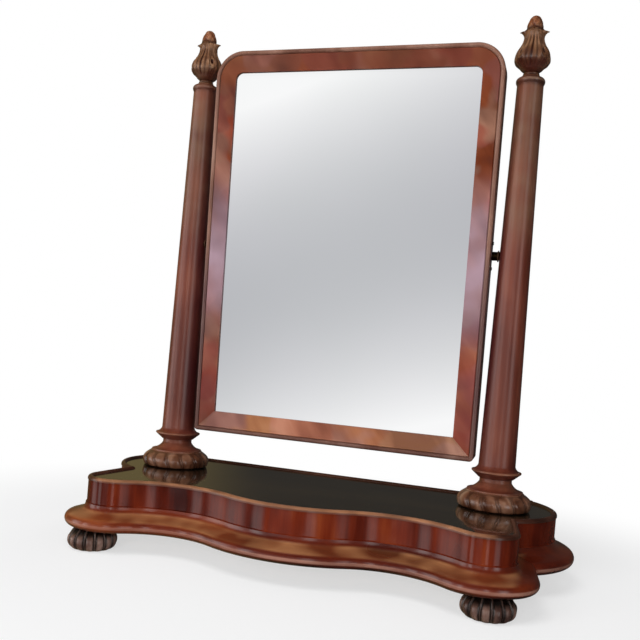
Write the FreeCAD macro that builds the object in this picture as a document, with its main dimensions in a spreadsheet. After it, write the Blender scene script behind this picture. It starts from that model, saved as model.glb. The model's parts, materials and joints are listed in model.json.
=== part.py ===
import FreeCAD, Part
import math
import os
from types import SimpleNamespace

import Sketcher
from FreeCAD import Placement, Rotation, Vector

# Dressing table mirror: a framed glass that tilts between two turned columns on a serpentine base.
# Millimetres and degrees. X runs to the right, the front looks along -Y and the feet stand on Z = 0.
# The origin lies on the floor in the middle of the plan, and the left half mirrors the right half in
# the plane X = 0.
SIZES = {
    # base, heights from the floor up
    "foot_height": 32.0,
    "plinth_height": 35.0,
    "frieze_height": 30.0,
    "top_thickness": 8.0,
    "rim_lift": 3.5,
    "rim_height": 6.0,
    # base, plan of the frieze: bulge, hollow, corner lobe, side and ear
    "front_reach": 153.0,
    "back_reach": 184.6,
    "bulge_radius": 182.5,
    "hollow_radius": 151.0,
    "lobe_radius": 44.5,
    "lobe_setback": 45.0,
    "lobe_outset": 5.5,
    "side_lean": 6.5,
    "ear_radius": 121.2,
    "ear_trim": 24.8,
    "ear_inset": 25.2,
    # base, sections
    "wall": 16.0,
    "plinth_flare": 31.6,
    "nose_radius": 10.0,
    "plinth_cove_out": 6.5,
    "plinth_cove_drop": 11.0,
    "plinth_cove_radius": 12.8,
    "frieze_foot": 1.5,
    "frieze_foot_height": 2.0,
    "frieze_foot_radius": 5.0,
    "rim_width": 8.0,
    "rim_proud": 1.2,
    "back_thickness": 14.0,
    "bottom_thickness": 10.0,
    "glue_block": 18.0,
    "glue_block_length": 50.0,
    "glue_block_spacing": 100.0,
    "glue_gap": 0.1,
    # bun feet, placed from the front lobes and from the ears
    "foot_radius": 37.4,
    "foot_belly": 13.5,
    "foot_sole_inset": 11.9,
    "foot_top_inset": 9.9,
    "foot_spigot_radius": 8.0,
    "foot_spigot_length": 9.5,
    "foot_front_outset": 13.5,
    "foot_front_ahead": 37.5,
    "foot_rear_outset": 63.2,
    "foot_rear_setback": 44.1,
    # columns: skirt, fillet, cove, neck, ring, shaft and collar, each height from the one below it
    "column_reach": 280.0,
    "column_ahead": 11.7,
    "skirt_radius": 58.0,
    "skirt_belly": 11.5,
    "skirt_sole_inset": 4.0,
    "skirt_shoulder_inset": 4.0,
    "skirt_shoulder_rise": 9.0,
    "skirt_slope_rise": 7.1,
    "skirt_top": 44.5,
    "core_radius": 23.0,
    "fillet_inset": 1.0,
    "fillet_height": 2.0,
    "cove_radius": 25.0,
    "cove_rise": 12.4,
    "neck_radius": 25.2,
    "neck_length": 6.0,
    "ring_step": 2.0,
    "ring_drop": 9.7,
    "ring_radius": 38.7,
    "ring_band": 2.0,
    "ring_rise": 8.4,
    "ring_cove_radius": 12.0,
    "shaft_bottom_radius": 28.8,
    "shaft_top_radius": 20.4,
    "pivot_to_collar": 268.7,
    "collar_radius": 22.4,
    "collar_height": 11.0,
    "collar_top_inset": 4.9,
    "tenon_radius": 12.0,
    # bud finials, each height from the one below it
    "bud_foot": 16.0,
    "bud_neck": 11.3,
    "bud_neck_rise": 9.0,
    "bud_radius": 28.6,
    "bud_bowl_inset": 3.1,
    "bud_bowl_rise": 11.5,
    "bud_belly_rise": 7.5,
    "bud_shoulder_inset": 6.1,
    "bud_shoulder_rise": 19.0,
    "bud_shoulder_radius": 34.0,
    "bud_waist": 16.1,
    "bud_waist_rise": 17.0,
    "bud_waist_radius": 40.0,
    "leaf_radius": 23.2,
    "leaf_rise": 8.7,
    "leaf_curl": 9.0,
    "dome_radius": 13.2,
    "dome_rise": 3.8,
    "dome_curve": 32.0,
    "dome_shoulder": 9.5,
    "dome_shoulder_rise": 14.5,
    "dome_cap": 7.4,
    "bud_spigot_radius": 5.0,
    "bud_spigot_length": 18.0,
    # column fixings under the top board
    "block_length": 72.0,
    "block_depth": 60.0,
    "block_thickness": 22.0,
    "lag_radius": 4.0,
    "lag_length": 45.0,
    "lag_head": 8.0,
    "lag_head_height": 5.5,
    "lag_washer": 12.0,
    "lag_washer_thickness": 2.0,
    # mirror frame: its clear space to the columns and their rings, then sizes from the pivot line
    "pivot_height": 397.8,
    "rest_tilt": 2.14,
    "frame_gap": 36.2,
    "frame_clearance": 10.3,
    "frame_face": 35.3,
    "corner_radius": 47.0,
    "lower_corner": 8.0,
    "band_front": 24.2,
    "sight_front": 20.5,
    "frame_back": 9.0,
    "bead_width": 7.5,
    "bead_front": 25.5,
    "bead_depth": 8.5,
    "groove_width": 1.2,
    "groove_depth": 1.6,
    "lip": 3.0,
    "glass_lap": 8.0,
    "backboard_lap": 18.0,
    "glass_thickness": 4.0,
    "glass_gap": 0.3,
    "backboard_thickness": 6.0,
    "wedge_width": 7.0,
    "wedge_length": 40.0,
    "wedge_inset": 127.0,
    # pivots
    "plate_thickness": 2.5,
    "plate_half_length": 30.0,
    "plate_half_width": 7.0,
    "plate_screw_spacing": 40.0,
    "boss_radius": 7.0,
    "pin_radius": 4.0,
    "pin_length": 18.0,
    "pin_clearance": 0.05,
    "bush_radius": 7.0,
    "bush_proud": 1.0,
    "leather_radius": 9.0,
    "leather_thickness": 1.5,
    "run_gap": 0.3,
    # wood screws
    "screw_radius": 1.75,
    "screw_length": 16.0,
    "screw_head": 3.5,
    "screw_head_height": 2.0,
    "board_screw_inset": 77.0,
    "pilot_gap": 0.1,
}
ANGLES = ("side_lean", "rest_tilt")

doc = FreeCAD.newDocument("dressing_table_mirror")
sheet = doc.addObject("Spreadsheet::Sheet", "dims")
for row, (alias, number) in enumerate(SIZES.items(), start=1):
    sheet.set(f"A{row}", alias)
    sheet.set(f"B{row}", str(number))
    sheet.setAlias(f"B{row}", alias)
doc.recompute()


class Size:
    """A number together with the sheet expression that it comes from."""

    def __init__(self, text, number):
        self.text = text
        self.number = number

    def joined(self, sign, other, number):
        return Size(f"({self.text} {sign} {other.text})", number)

    def __add__(self, other):
        other = as_size(other)
        return self.joined("+", other, self.number + other.number)

    def __sub__(self, other):
        other = as_size(other)
        return self.joined("-", other, self.number - other.number)

    def __mul__(self, other):
        other = as_size(other)
        return self.joined("*", other, self.number * other.number)

    def __truediv__(self, other):
        other = as_size(other)
        return self.joined("/", other, self.number / other.number)

    def __neg__(self):
        return Size(f"(0 - {self.text})", -self.number)


def as_size(value):
    if isinstance(value, Size):
        return value
    return Size(str(value), float(value))


def root(size):
    return Size(f"sqrt({size.text})", math.sqrt(size.number))


def cosine(angle):
    return Size(f"cos({angle.text})", math.cos(math.radians(angle.number)))


def sine(angle):
    return Size(f"sin({angle.text})", math.sin(math.radians(angle.number)))


def arc_cosine(size):
    return Size(f"acos({size.text})", math.degrees(math.acos(size.number)))


def sheet_size(alias):
    unit = " * 1 deg" if alias in ANGLES else ""
    return Size(f"(dims.{alias}{unit})", float(sheet.get(alias)))


d = SimpleNamespace(**{alias: sheet_size(alias) for alias in SIZES})
NIL = as_size(0)

# Heights that several pieces share.
plinth_top = d.foot_height + d.plinth_height
ledge = plinth_top + d.frieze_height
base_top = ledge + d.top_thickness
rim_top = base_top + d.rim_lift
rim_seat = rim_top - d.rim_height
pivot_z = base_top + d.pivot_height

# Heights on a column, from the top board up.
skirt_height = d.skirt_belly + d.skirt_shoulder_rise + d.skirt_slope_rise
fillet_top = skirt_height + d.fillet_height
neck_height = fillet_top + d.cove_rise
neck_top = neck_height + d.neck_length
ring_height = neck_top + d.ring_drop
ring_top = ring_height + d.ring_band
shaft_foot = ring_top + d.ring_rise
shaft_height = d.pivot_height + d.pivot_to_collar
collar_z = base_top + shaft_height + d.collar_height

# Places in the plan: the front lobes and the ears lie off the columns' lines.
lobe_x = d.column_reach + d.lobe_outset
lobe_y = d.front_reach - d.lobe_setback
ear_x = d.column_reach - d.ear_inset
ear_y = d.back_reach - d.ear_radius + d.ear_trim
column_y = ear_y - d.column_ahead

# Half sizes of the mirror frame.
half_x = d.column_reach - d.frame_gap
half_z = d.pivot_height - ring_top - d.frame_clearance


# Sketch and placement helpers

def new_sketch(body, role, name, lift=None):
    """A sketch on one of the body's own origin planes, lifted along the plane's normal."""
    sketch = body.newObject("Sketcher::SketchObject", name)
    plane = next(item for item in body.Origin.OriginFeatures if item.Role == role)
    sketch.AttachmentSupport = [(plane, "")]
    sketch.MapMode = "FlatFace"
    if lift is not None:
        sketch.setExpression("AttachmentOffset.Base.z", lift.text)
    return sketch


def measure(sketch, constraint, size):
    """Add a constraint and tie its value to the sheet."""
    index = sketch.addConstraint(constraint)
    sketch.setExpression(f"Constraints[{index}]", size.text)


def pin_point(sketch, edge, end, u, v):
    """Fix one end of an edge at (u, v)."""
    for kind, axis, size in (("DistanceX", -2, u), ("DistanceY", -1, v)):
        if size.number == 0:
            sketch.addConstraint(Sketcher.Constraint("PointOnObject", edge, end, axis))
        else:
            measure(sketch, Sketcher.Constraint(kind, -1, 1, edge, end, size.number), size)


def arc_of(centre, radius, start, end):
    """An arc that runs anticlockwise from one point to another."""
    circle = Part.Circle(centre, Vector(0, 0, 1), radius)
    first = math.atan2(start.y - centre.y, start.x - centre.x)
    last = math.atan2(end.y - centre.y, end.x - centre.x)
    return Part.ArcOfCircle(circle, first, last)


def draw_loop(sketch, corners):
    """A closed outline through (u, v) corners. A third item, (radius, turn), bends the edge that
    arrives at that corner: turn is 1 for a left turn and -1 for a right turn."""
    ends = []
    for index, corner in enumerate(corners):
        before = corners[index - 1]
        start = Vector(before[0].number, before[1].number, 0)
        end = Vector(corner[0].number, corner[1].number, 0)
        if len(corner) == 2:
            edge = sketch.addGeometry(Part.LineSegment(start, end))
            ends.append((edge, 1, 2))
            continue
        radius, turn = corner[2]
        across = end - start
        side = Vector(-across.y, across.x, 0) * (turn / across.Length)
        rise = math.sqrt(max(radius.number ** 2 - across.Length ** 2 / 4, 0))
        centre = (start + end) * 0.5 + side * rise
        if turn > 0:
            edge = sketch.addGeometry(arc_of(centre, radius.number, start, end))
            ends.append((edge, 1, 2))
        else:
            edge = sketch.addGeometry(arc_of(centre, radius.number, end, start))
            ends.append((edge, 2, 1))
        measure(sketch, Sketcher.Constraint("Radius", edge, radius.number), radius)
    for index, (edge, first, last) in enumerate(ends):
        following, meets, _ = ends[(index + 1) % len(ends)]
        sketch.addConstraint(Sketcher.Constraint("Coincident", edge, last, following, meets))
        pin_point(sketch, edge, last, corners[index][0], corners[index][1])


def upright_arc(across, along):
    """Radius of an arc that leaves a belly upright and ends so far inwards and so far along."""
    return (across * across + along * along) / (across * 2)


def place(item, x=NIL, y=NIL, z=NIL):
    for axis, size in (("x", x), ("y", y), ("z", z)):
        item.setExpression(f"Placement.Base.{axis}", size.text)
    return item


def turn_to_x(item):
    """Lay a cylinder along X, its base at its own placement."""
    item.Placement = Placement(Vector(), Rotation(Vector(0, 1, 0), 90))
    return item


def lean(item, x=NIL, y=NIL, z=NIL):
    """Set a piece of the mirror at (x, y, z) from the pivot, leaning forward with the mirror."""
    item.Placement = Placement(Vector(), Rotation(Vector(1, 0, 0), d.rest_tilt.number))
    item.setExpression("Placement.Rotation.Angle", d.rest_tilt.text)
    back = column_y + y * cosine(d.rest_tilt) - z * sine(d.rest_tilt)
    up = y * sine(d.rest_tilt) + z * cosine(d.rest_tilt)
    return place(item, x, back, pivot_z + up)


# Solid helpers

def new_body(name):
    return doc.addObject("PartDesign::Body", name)


def turned(name, profile):
    """A turned piece: (radius, height) corners spun about the body's Z axis."""
    body = new_body(name)
    sketch = new_sketch(body, "XZ_Plane", f"{name}_profile")
    draw_loop(sketch, profile)
    spin = body.newObject("PartDesign::Revolution", f"{name}_spin")
    spin.Profile = sketch
    spin.ReferenceAxis = (sketch, ["V_Axis"])
    spin.Angle = 360
    return body


def bar(name, section, length):
    """A bar along X, centred on X = 0, with its (Y, Z) section."""
    body = new_body(name)
    sketch = new_sketch(body, "YZ_Plane", f"{name}_section")
    draw_loop(sketch, section)
    pad = body.newObject("PartDesign::Pad", f"{name}_pad")
    pad.Profile = sketch
    pad.SideType = "Symmetric"
    pad.setExpression("Length", length.text)
    return body


def box(name, x, y, z, length, width, height):
    item = doc.addObject("Part::Box", name)
    for side, size in (("Length", length), ("Width", width), ("Height", height)):
        item.setExpression(side, size.text)
    return place(item, x, y, z)


def rod(name, radius, length, x=NIL, y=NIL, z=NIL, along_x=False):
    item = doc.addObject("Part::Cylinder", name)
    item.setExpression("Radius", radius.text)
    item.setExpression("Height", length.text)
    if along_x:
        turn_to_x(item)
    return place(item, x, y, z)


def joined(name, items):
    item = doc.addObject("Part::MultiFuse", name)
    item.Shapes = items
    item.Refine = True
    return item


def cut(name, base, tools):
    """Take each tool away from the base."""
    tool = tools[0]
    if len(tools) > 1:
        tool = doc.addObject("Part::Compound", f"{name}_tools")
        tool.Links = tools
    item = doc.addObject("Part::Cut", name)
    item.Base = base
    item.Tool = tool
    return item


def common(name, base, tool):
    item = doc.addObject("Part::Common", name)
    item.Base = base
    item.Tool = tool
    return item


def group(name, items):
    item = doc.addObject("Part::Compound", name)
    item.Links = items
    return item


def mirrored(name, source):
    """The left-hand twin of a right-hand piece."""
    item = doc.addObject("Part::Mirroring", name)
    item.Source = source
    item.Normal = Vector(1, 0, 0)
    return item


nodes = {}


def keep(label, item):
    """Hand a finished piece in under its node name."""
    item.Label = label
    nodes[label] = item
    return item


# Serpentine plan of the base

# The notch is where the side line meets the ear's circle: so far out along the side's normal, and
# so far forward along the side, seen from the ear's centre.
notch_out = (lobe_x - ear_x) * cosine(d.side_lean) - (lobe_y + ear_y) * sine(d.side_lean)
notch_out = notch_out + d.lobe_radius
notch_ahead = root(d.ear_radius * d.ear_radius - notch_out * notch_out)
notch_x = ear_x + notch_out * cosine(d.side_lean) + notch_ahead * sine(d.side_lean)
notch_y = ear_y + notch_out * sine(d.side_lean) - notch_ahead * cosine(d.side_lean)
mitre_angle = d.side_lean - arc_cosine(notch_out / d.ear_radius) / 2
tool_reach = d.ear_radius + d.plinth_flare


def hollow_centre():
    """Centre of the hollow between the bulge and the lobe, which it touches from in front."""
    bulge = Vector(0, d.bulge_radius.number - d.front_reach.number, 0)
    lobe = Vector(lobe_x.number, -lobe_y.number, 0)
    to_bulge = d.bulge_radius.number + d.hollow_radius.number
    to_lobe = d.lobe_radius.number + d.hollow_radius.number
    line = lobe - bulge
    along = (to_bulge ** 2 - to_lobe ** 2 + line.Length ** 2) / (2 * line.Length)
    line.normalize()
    ahead = Vector(line.y, -line.x, 0) * math.sqrt(to_bulge ** 2 - along ** 2)
    return bulge, lobe, bulge + line * along + ahead


def serpentine(sketch, offset, back=None):
    """Right half of the plan, offset outwards. With a back line it is a closed outline; without
    one it is an open path that runs on past the notch by a wall's thickness."""
    bulge, lobe, hollow = hollow_centre()
    bulge_size = d.bulge_radius + offset
    hollow_size = d.hollow_radius - offset
    lobe_size = d.lobe_radius + offset
    lean_angle = math.radians(d.side_lean.number)
    normal = Vector(math.cos(lean_angle), math.sin(lean_angle), 0)
    forward = Vector(math.sin(lean_angle), -math.cos(lean_angle), 0)
    first = bulge + Vector(0, -bulge_size.number, 0)
    second = bulge + (hollow - bulge).normalize() * bulge_size.number
    third = lobe + (hollow - lobe).normalize() * lobe_size.number
    fourth = lobe + normal * lobe_size.number
    ear = Vector(ear_x.number, ear_y.number, 0)
    ear_size = d.ear_radius + offset
    out = (lobe - ear).dot(normal) + lobe_size.number
    notch = ear + normal * out + forward * math.sqrt(ear_size.number ** 2 - out ** 2)
    last = notch if back is not None else notch - forward * d.wall.number

    sketch.addGeometry(arc_of(bulge, bulge_size.number, first, second))
    sketch.addGeometry(arc_of(hollow, hollow_size.number, third, second))
    sketch.addGeometry(arc_of(lobe, lobe_size.number, third, fourth))
    sketch.addGeometry(Part.LineSegment(fourth, last))
    sketch.addConstraint(Sketcher.Constraint("PointOnObject", 0, 1, -2))
    pin_point(sketch, 0, 3, NIL, d.bulge_radius - d.front_reach)
    sketch.addConstraint(Sketcher.Constraint("Tangent", 0, 2, 1, 2))
    sketch.addConstraint(Sketcher.Constraint("Tangent", 1, 1, 2, 1))
    sketch.addConstraint(Sketcher.Constraint("Tangent", 2, 2, 3, 1))
    pin_point(sketch, 2, 3, lobe_x, -lobe_y)
    for edge, size in ((0, bulge_size), (1, hollow_size), (2, lobe_size)):
        measure(sketch, Sketcher.Constraint("Radius", edge, size.number), size)
    side_angle = Size(f"(90 deg + {d.side_lean.text})", 90 + d.side_lean.number)
    slope = Sketcher.Constraint("Angle", 3, math.radians(side_angle.number))
    measure(sketch, slope, side_angle)
    if back is None:
        end_y = notch_y + d.wall * cosine(d.side_lean)
        measure(sketch, Sketcher.Constraint("DistanceY", -1, 1, 3, 2, end_y.number), end_y)
        return

    corner_x = ear.x + math.sqrt(ear_size.number ** 2 - (back.number - ear.y) ** 2)
    corner = Vector(corner_x, back.number, 0)
    middle = Vector(0, back.number, 0)
    sketch.addGeometry(arc_of(ear, ear_size.number, notch, corner))
    sketch.addGeometry(Part.LineSegment(corner, middle))
    sketch.addGeometry(Part.LineSegment(middle, first))
    for edge, following in ((3, 4), (4, 5), (5, 6), (6, 0)):
        sketch.addConstraint(Sketcher.Constraint("Coincident", edge, 2, following, 1))
    pin_point(sketch, 4, 3, ear_x, ear_y)
    measure(sketch, Sketcher.Constraint("Radius", 4, ear_size.number), ear_size)
    sketch.addConstraint(Sketcher.Constraint("Horizontal", 5))
    pin_point(sketch, 5, 2, NIL, back)


def slab(name, offset, back, bottom, thickness):
    """A flat board with the serpentine plan, made as a right half and its mirror image."""
    body = new_body(name)
    sketch = new_sketch(body, "XY_Plane", f"{name}_plan", bottom)
    serpentine(sketch, offset, back)
    pad = body.newObject("PartDesign::Pad", f"{name}_pad")
    pad.Profile = sketch
    pad.setExpression("Length", thickness.text)
    twin = body.newObject("PartDesign::Mirrored", f"{name}_twin")
    twin.Originals = [pad]
    plane = next(item for item in body.Origin.OriginFeatures if item.Role == "YZ_Plane")
    twin.MirrorPlane = (plane, [""])
    body.Tip = twin
    return body


def mitre_tool(name, side):
    """A block on one side of the mitre in the right-hand notch: 1 behind it, -1 in front of it."""
    across = tool_reach * 2
    start = NIL if side > 0 else tool_reach * 2
    x = notch_x - tool_reach * cosine(mitre_angle) + start * sine(mitre_angle)
    y = notch_y - tool_reach * sine(mitre_angle) - start * cosine(mitre_angle)
    tool = box(name, x, y, NIL, across, across, rim_top * 2)
    tool.Placement = Placement(Vector(), Rotation(Vector(0, 0, 1), mitre_angle.number))
    tool.setExpression("Placement.Rotation.Angle", mitre_angle.text)
    return place(tool, x, y)


def front_run(label, section):
    """A moulded strip from notch to notch round the front, with its (outwards, Z) section."""
    body = new_body(f"{label}_half")
    path = new_sketch(body, "XY_Plane", f"{label}_path")
    serpentine(path, NIL)
    profile = new_sketch(body, "YZ_Plane", f"{label}_section")
    # Seen along X the outside lies towards -Y, so left turns become right turns.
    corners = []
    for outwards, up, *bend in section:
        turns = [(radius, -turn) for radius, turn in bend]
        corners.append((-(d.front_reach + outwards), up, *turns))
    draw_loop(profile, corners)
    pipe = body.newObject("PartDesign::AdditivePipe", f"{label}_pipe")
    pipe.Profile = profile
    pipe.Spine = (path, [f"Edge{index}" for index in range(1, 5)])
    right = cut(f"{label}_right", body, [mitre_tool(f"{label}_mitre", 1)])
    return joined(f"{label}_whole", [right, mirrored(f"{label}_left", right)])


def ear_run(label, section, end_y):
    """The strips round the two ears, spun about the ear's centre, from the mitre to the back."""
    body = new_body(f"{label}_ring")
    sketch = new_sketch(body, "XZ_Plane", f"{label}_section")
    draw_loop(sketch, [(d.ear_radius + corner[0], *corner[1:]) for corner in section])
    spin = body.newObject("PartDesign::Revolution", f"{label}_spin")
    spin.Profile = sketch
    spin.ReferenceAxis = (sketch, ["V_Axis"])
    spin.Midplane = True
    spin.Angle = 190
    place(body, ear_x, ear_y)
    behind = box(f"{label}_behind", NIL, end_y, NIL, tool_reach * 4, tool_reach * 2, rim_top * 2)
    right = cut(f"{label}_cut", body, [mitre_tool(f"{label}_mitre", -1), behind])
    keep(f"{label}_right", right)
    keep(f"{label}_left", mirrored(f"{label}_twin", right))


# Base: plinth, frieze, rim, boards and blocks

# The plinth's slope runs straight from the foot of its cove and touches the round nose.
slope_u = d.frieze_foot + d.plinth_cove_out
slope_z = plinth_top - d.plinth_cove_drop
nose_u = d.plinth_flare - d.nose_radius
nose_z = d.foot_height + d.nose_radius
nose_to_slope = root((slope_u - nose_u) * (slope_u - nose_u) + (slope_z - nose_z) * (slope_z - nose_z))
nose_turn = arc_cosine((slope_u - nose_u) / nose_to_slope) - arc_cosine(d.nose_radius / nose_to_slope)
plinth_section = [
    (-d.wall, d.foot_height),
    (nose_u, d.foot_height),
    (d.plinth_flare, nose_z, (d.nose_radius, 1)),
    (nose_u + d.nose_radius * cosine(nose_turn), nose_z + d.nose_radius * sine(nose_turn),
     (d.nose_radius, 1)),
    (slope_u, slope_z),
    (d.frieze_foot, plinth_top, (d.plinth_cove_radius, -1)),
    (-d.wall, plinth_top),
]
frieze_section = [
    (-d.wall, plinth_top),
    (d.frieze_foot, plinth_top),
    (NIL, plinth_top + d.frieze_foot_height, (d.frieze_foot_radius, -1)),
    (NIL, rim_seat),
    (-d.rim_width, rim_seat),
    (-d.rim_width, ledge),
    (-d.wall, ledge),
]
rim_round = (d.rim_width + d.rim_proud) / 2
rim_section = [
    (-d.rim_width, rim_seat),
    (d.rim_proud, rim_seat),
    (d.rim_proud, rim_top - rim_round),
    (d.rim_proud - rim_round, rim_top, (rim_round, 1)),
    (-d.rim_width, rim_top - rim_round, (rim_round, 1)),
]
rim_back_y = d.back_reach - d.rim_width

plinth_run = front_run("plinth_front", plinth_section)
ear_run("plinth", plinth_section, d.back_reach)
keep("frieze_front", front_run("frieze_front", frieze_section))
ear_run("frieze", frieze_section, d.back_reach)
keep("rim_front", front_run("rim_front", rim_section))
ear_run("rim", rim_section, rim_back_y - d.glue_gap)


def foot_holes(name, x, y, bottom):
    """Holes for the spigots of a pair of feet."""
    radius = d.foot_spigot_radius + d.glue_gap
    depth = d.foot_spigot_length + d.glue_gap
    right = rod(f"{name}_right", radius, depth, x, y, bottom)
    left = rod(f"{name}_left", radius, depth, -x, y, bottom)
    return [right, left]


foot_front_x = lobe_x + d.foot_front_outset
foot_front_y = -(lobe_y + d.foot_front_ahead)
foot_rear_x = ear_x + d.foot_rear_outset
foot_rear_y = d.back_reach - d.foot_rear_setback
front_holes = foot_holes("front_spigot_hole", foot_front_x, foot_front_y, d.foot_height)
keep("plinth_front", cut("plinth_front_bored", plinth_run, front_holes))

inside = -(d.wall + d.glue_gap)
bottom_slab = slab("bottom_slab", inside, d.back_reach, d.foot_height, d.bottom_thickness)
rear_holes = foot_holes("rear_spigot_hole", foot_rear_x, foot_rear_y, d.foot_height)
keep("bottom_board", cut("bottom_board_bored", bottom_slab, rear_holes))

top_slab = slab("top_slab", -(d.rim_width + d.glue_gap), rim_back_y - d.glue_gap, ledge, d.top_thickness)
tenon_hole = d.tenon_radius + d.glue_gap
column_holes = [rod(f"top_hole_{side}", tenon_hole, d.top_thickness, x, column_y, ledge)
                for side, x in (("right", d.column_reach), ("left", -d.column_reach))]
keep("top_board", cut("top_board_bored", top_slab, column_holes))

bar_length = (ear_x + d.ear_radius + d.plinth_flare) * 2
board_bottom = d.foot_height + d.bottom_thickness
back_section = [
    (d.back_reach - d.back_thickness, board_bottom),
    (d.back_reach, board_bottom),
    (d.back_reach, rim_seat),
    (rim_back_y, rim_seat),
    (rim_back_y, ledge),
    (d.back_reach - d.back_thickness, ledge),
]
back_bar = bar("back_bar", back_section, bar_length)
back_plan = slab("back_plan", inside, d.back_reach, NIL, rim_top)
keep("back_board", common("back_board_cut", back_bar, back_plan))

rim_bar_section = [
    (rim_back_y, rim_seat),
    (d.back_reach, rim_seat),
    (d.back_reach, rim_top - d.rim_width / 2),
    (d.back_reach - d.rim_width / 2, rim_top, (d.rim_width / 2, 1)),
    (rim_back_y, rim_top - d.rim_width / 2, (d.rim_width / 2, 1)),
]
rim_bar = bar("rim_bar", rim_bar_section, bar_length)
rim_plan = slab("rim_plan", d.rim_proud, d.back_reach, NIL, rim_top)
keep("rim_back", common("rim_back_cut", rim_bar, rim_plan))

glue_y = d.back_reach - d.back_thickness - d.glue_block
glue_blocks = [
    box(f"glue_block_{index}", d.glue_block_spacing * index - d.glue_block_length / 2, glue_y,
        board_bottom, d.glue_block_length, d.glue_block, d.glue_block)
    for index in range(-2, 3)
]
keep("glue_blocks", group("glue_block_set", glue_blocks))


# Bun feet, plain turnings that carry the carved lobes

foot_profile = [
    (NIL, NIL),
    (d.foot_radius - d.foot_sole_inset, NIL),
    (d.foot_radius, d.foot_belly, (upright_arc(d.foot_sole_inset, d.foot_belly), 1)),
    (d.foot_radius - d.foot_top_inset, d.foot_height,
     (upright_arc(d.foot_top_inset, d.foot_height - d.foot_belly), 1)),
    (d.foot_spigot_radius, d.foot_height),
    (d.foot_spigot_radius, d.foot_height + d.foot_spigot_length),
    (NIL, d.foot_height + d.foot_spigot_length),
]
for where, x, y in (("front", foot_front_x, foot_front_y), ("rear", foot_rear_x, foot_rear_y)):
    for side, reach in (("right", x), ("left", -x)):
        foot = turned(f"foot_{where}_{side}_body", foot_profile)
        keep(f"foot_{where}_{side}", place(foot, reach, y))


# Columns, skirts and finials

block_bottom = ledge - d.block_thickness
tenon_length = d.top_thickness + d.block_thickness
lag_bore = d.lag_radius + d.glue_gap
bud_bore = d.bud_spigot_radius + d.glue_gap
collar_top = shaft_height + d.collar_height
bud_bore_end = collar_top - d.bud_spigot_length - d.glue_gap
lag_bore_end = d.lag_length - tenon_length - d.lag_washer_thickness + d.glue_gap
fillet_radius = d.skirt_top - d.fillet_inset
column_profile = [
    (lag_bore, -tenon_length),
    (d.tenon_radius, -tenon_length),
    (d.tenon_radius, NIL),
    (d.core_radius, NIL),
    (d.core_radius, skirt_height),
    (fillet_radius, skirt_height),
    (fillet_radius, fillet_top),
    (d.neck_radius, neck_height, (d.cove_radius, -1)),
    (d.neck_radius, neck_top),
    (d.neck_radius + d.ring_step, neck_top),
    (d.ring_radius, ring_height),
    (d.ring_radius, ring_top),
    (d.shaft_bottom_radius, shaft_foot, (d.ring_cove_radius, -1)),
    (d.shaft_top_radius, shaft_height),
    (d.collar_radius, shaft_height + d.collar_height / 2,
     (upright_arc(d.collar_radius - d.shaft_top_radius, d.collar_height / 2), 1)),
    (d.collar_radius - d.collar_top_inset, collar_top,
     (upright_arc(d.collar_top_inset, d.collar_height / 2), 1)),
    (bud_bore, collar_top),
    (bud_bore, bud_bore_end),
    (NIL, bud_bore_end),
    (NIL, lag_bore_end),
    (lag_bore, lag_bore_end),
]
skirt_bore = d.core_radius + d.glue_gap
skirt_shoulder = d.skirt_radius - d.skirt_shoulder_inset
skirt_profile = [
    (skirt_bore, NIL),
    (d.skirt_radius - d.skirt_sole_inset, NIL),
    (d.skirt_radius, d.skirt_belly, (upright_arc(d.skirt_sole_inset, d.skirt_belly), 1)),
    (skirt_shoulder, d.skirt_belly + d.skirt_shoulder_rise,
     (upright_arc(d.skirt_shoulder_inset, d.skirt_shoulder_rise), 1)),
    (d.skirt_top, skirt_height),
    (skirt_bore, skirt_height),
]
bowl_z = d.bud_neck_rise + d.bud_bowl_rise
belly_z = bowl_z + d.bud_belly_rise
shoulder_z = belly_z + d.bud_shoulder_rise
waist_z = shoulder_z + d.bud_waist_rise
leaf_z = waist_z + d.leaf_rise
dome_z = leaf_z + d.dome_rise
dome_top = dome_z + d.dome_shoulder_rise
bud_profile = [
    (NIL, -d.bud_spigot_length),
    (d.bud_spigot_radius, -d.bud_spigot_length),
    (d.bud_spigot_radius, NIL),
    (d.bud_foot, NIL),
    (d.bud_neck, d.bud_neck_rise),
    (d.bud_radius - d.bud_bowl_inset, bowl_z),
    (d.bud_radius, belly_z, (upright_arc(d.bud_bowl_inset, d.bud_belly_rise), 1)),
    (d.bud_radius - d.bud_shoulder_inset, shoulder_z, (d.bud_shoulder_radius, 1)),
    (d.bud_waist, waist_z, (d.bud_waist_radius, -1)),
    (d.leaf_radius, leaf_z, (d.leaf_curl, -1)),
    (d.dome_radius, dome_z),
    (d.dome_shoulder, dome_top, (d.dome_curve, 1)),
    (NIL, dome_top + d.dome_cap, (upright_arc(d.dome_cap, d.dome_shoulder), 1)),
]

# The shaft's radius at the pivot, and where the bush meets the mirror's side.
shaft_fall = (d.shaft_bottom_radius - d.shaft_top_radius) / (shaft_height - shaft_foot)
pivot_shaft = d.shaft_bottom_radius - shaft_fall * (d.pivot_height - shaft_foot)
bush_face = d.column_reach - pivot_shaft - d.bush_proud

column_body = turned("column_body", column_profile)
place(column_body, d.column_reach, column_y, base_top)
bush_hole = rod("bush_hole", d.bush_radius + d.glue_gap, d.column_reach - bush_face,
                bush_face, column_y, pivot_z, along_x=True)
column = keep("column_right", cut("column_bored", column_body, [bush_hole]))
keep("column_left", mirrored("column_twin", column))

bush_length = d.column_reach - bush_face - d.glue_gap
bush_place = (bush_face, column_y, pivot_z)
bush_solid = rod("bush_solid", d.bush_radius, bush_length, *bush_place, along_x=True)
bush_bore = rod("bush_bore", d.pin_radius + d.pin_clearance, bush_length, *bush_place, along_x=True)
bush = keep("pivot_bush_right", cut("bush_bored", bush_solid, [bush_bore]))
keep("pivot_bush_left", mirrored("bush_twin", bush))

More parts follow.
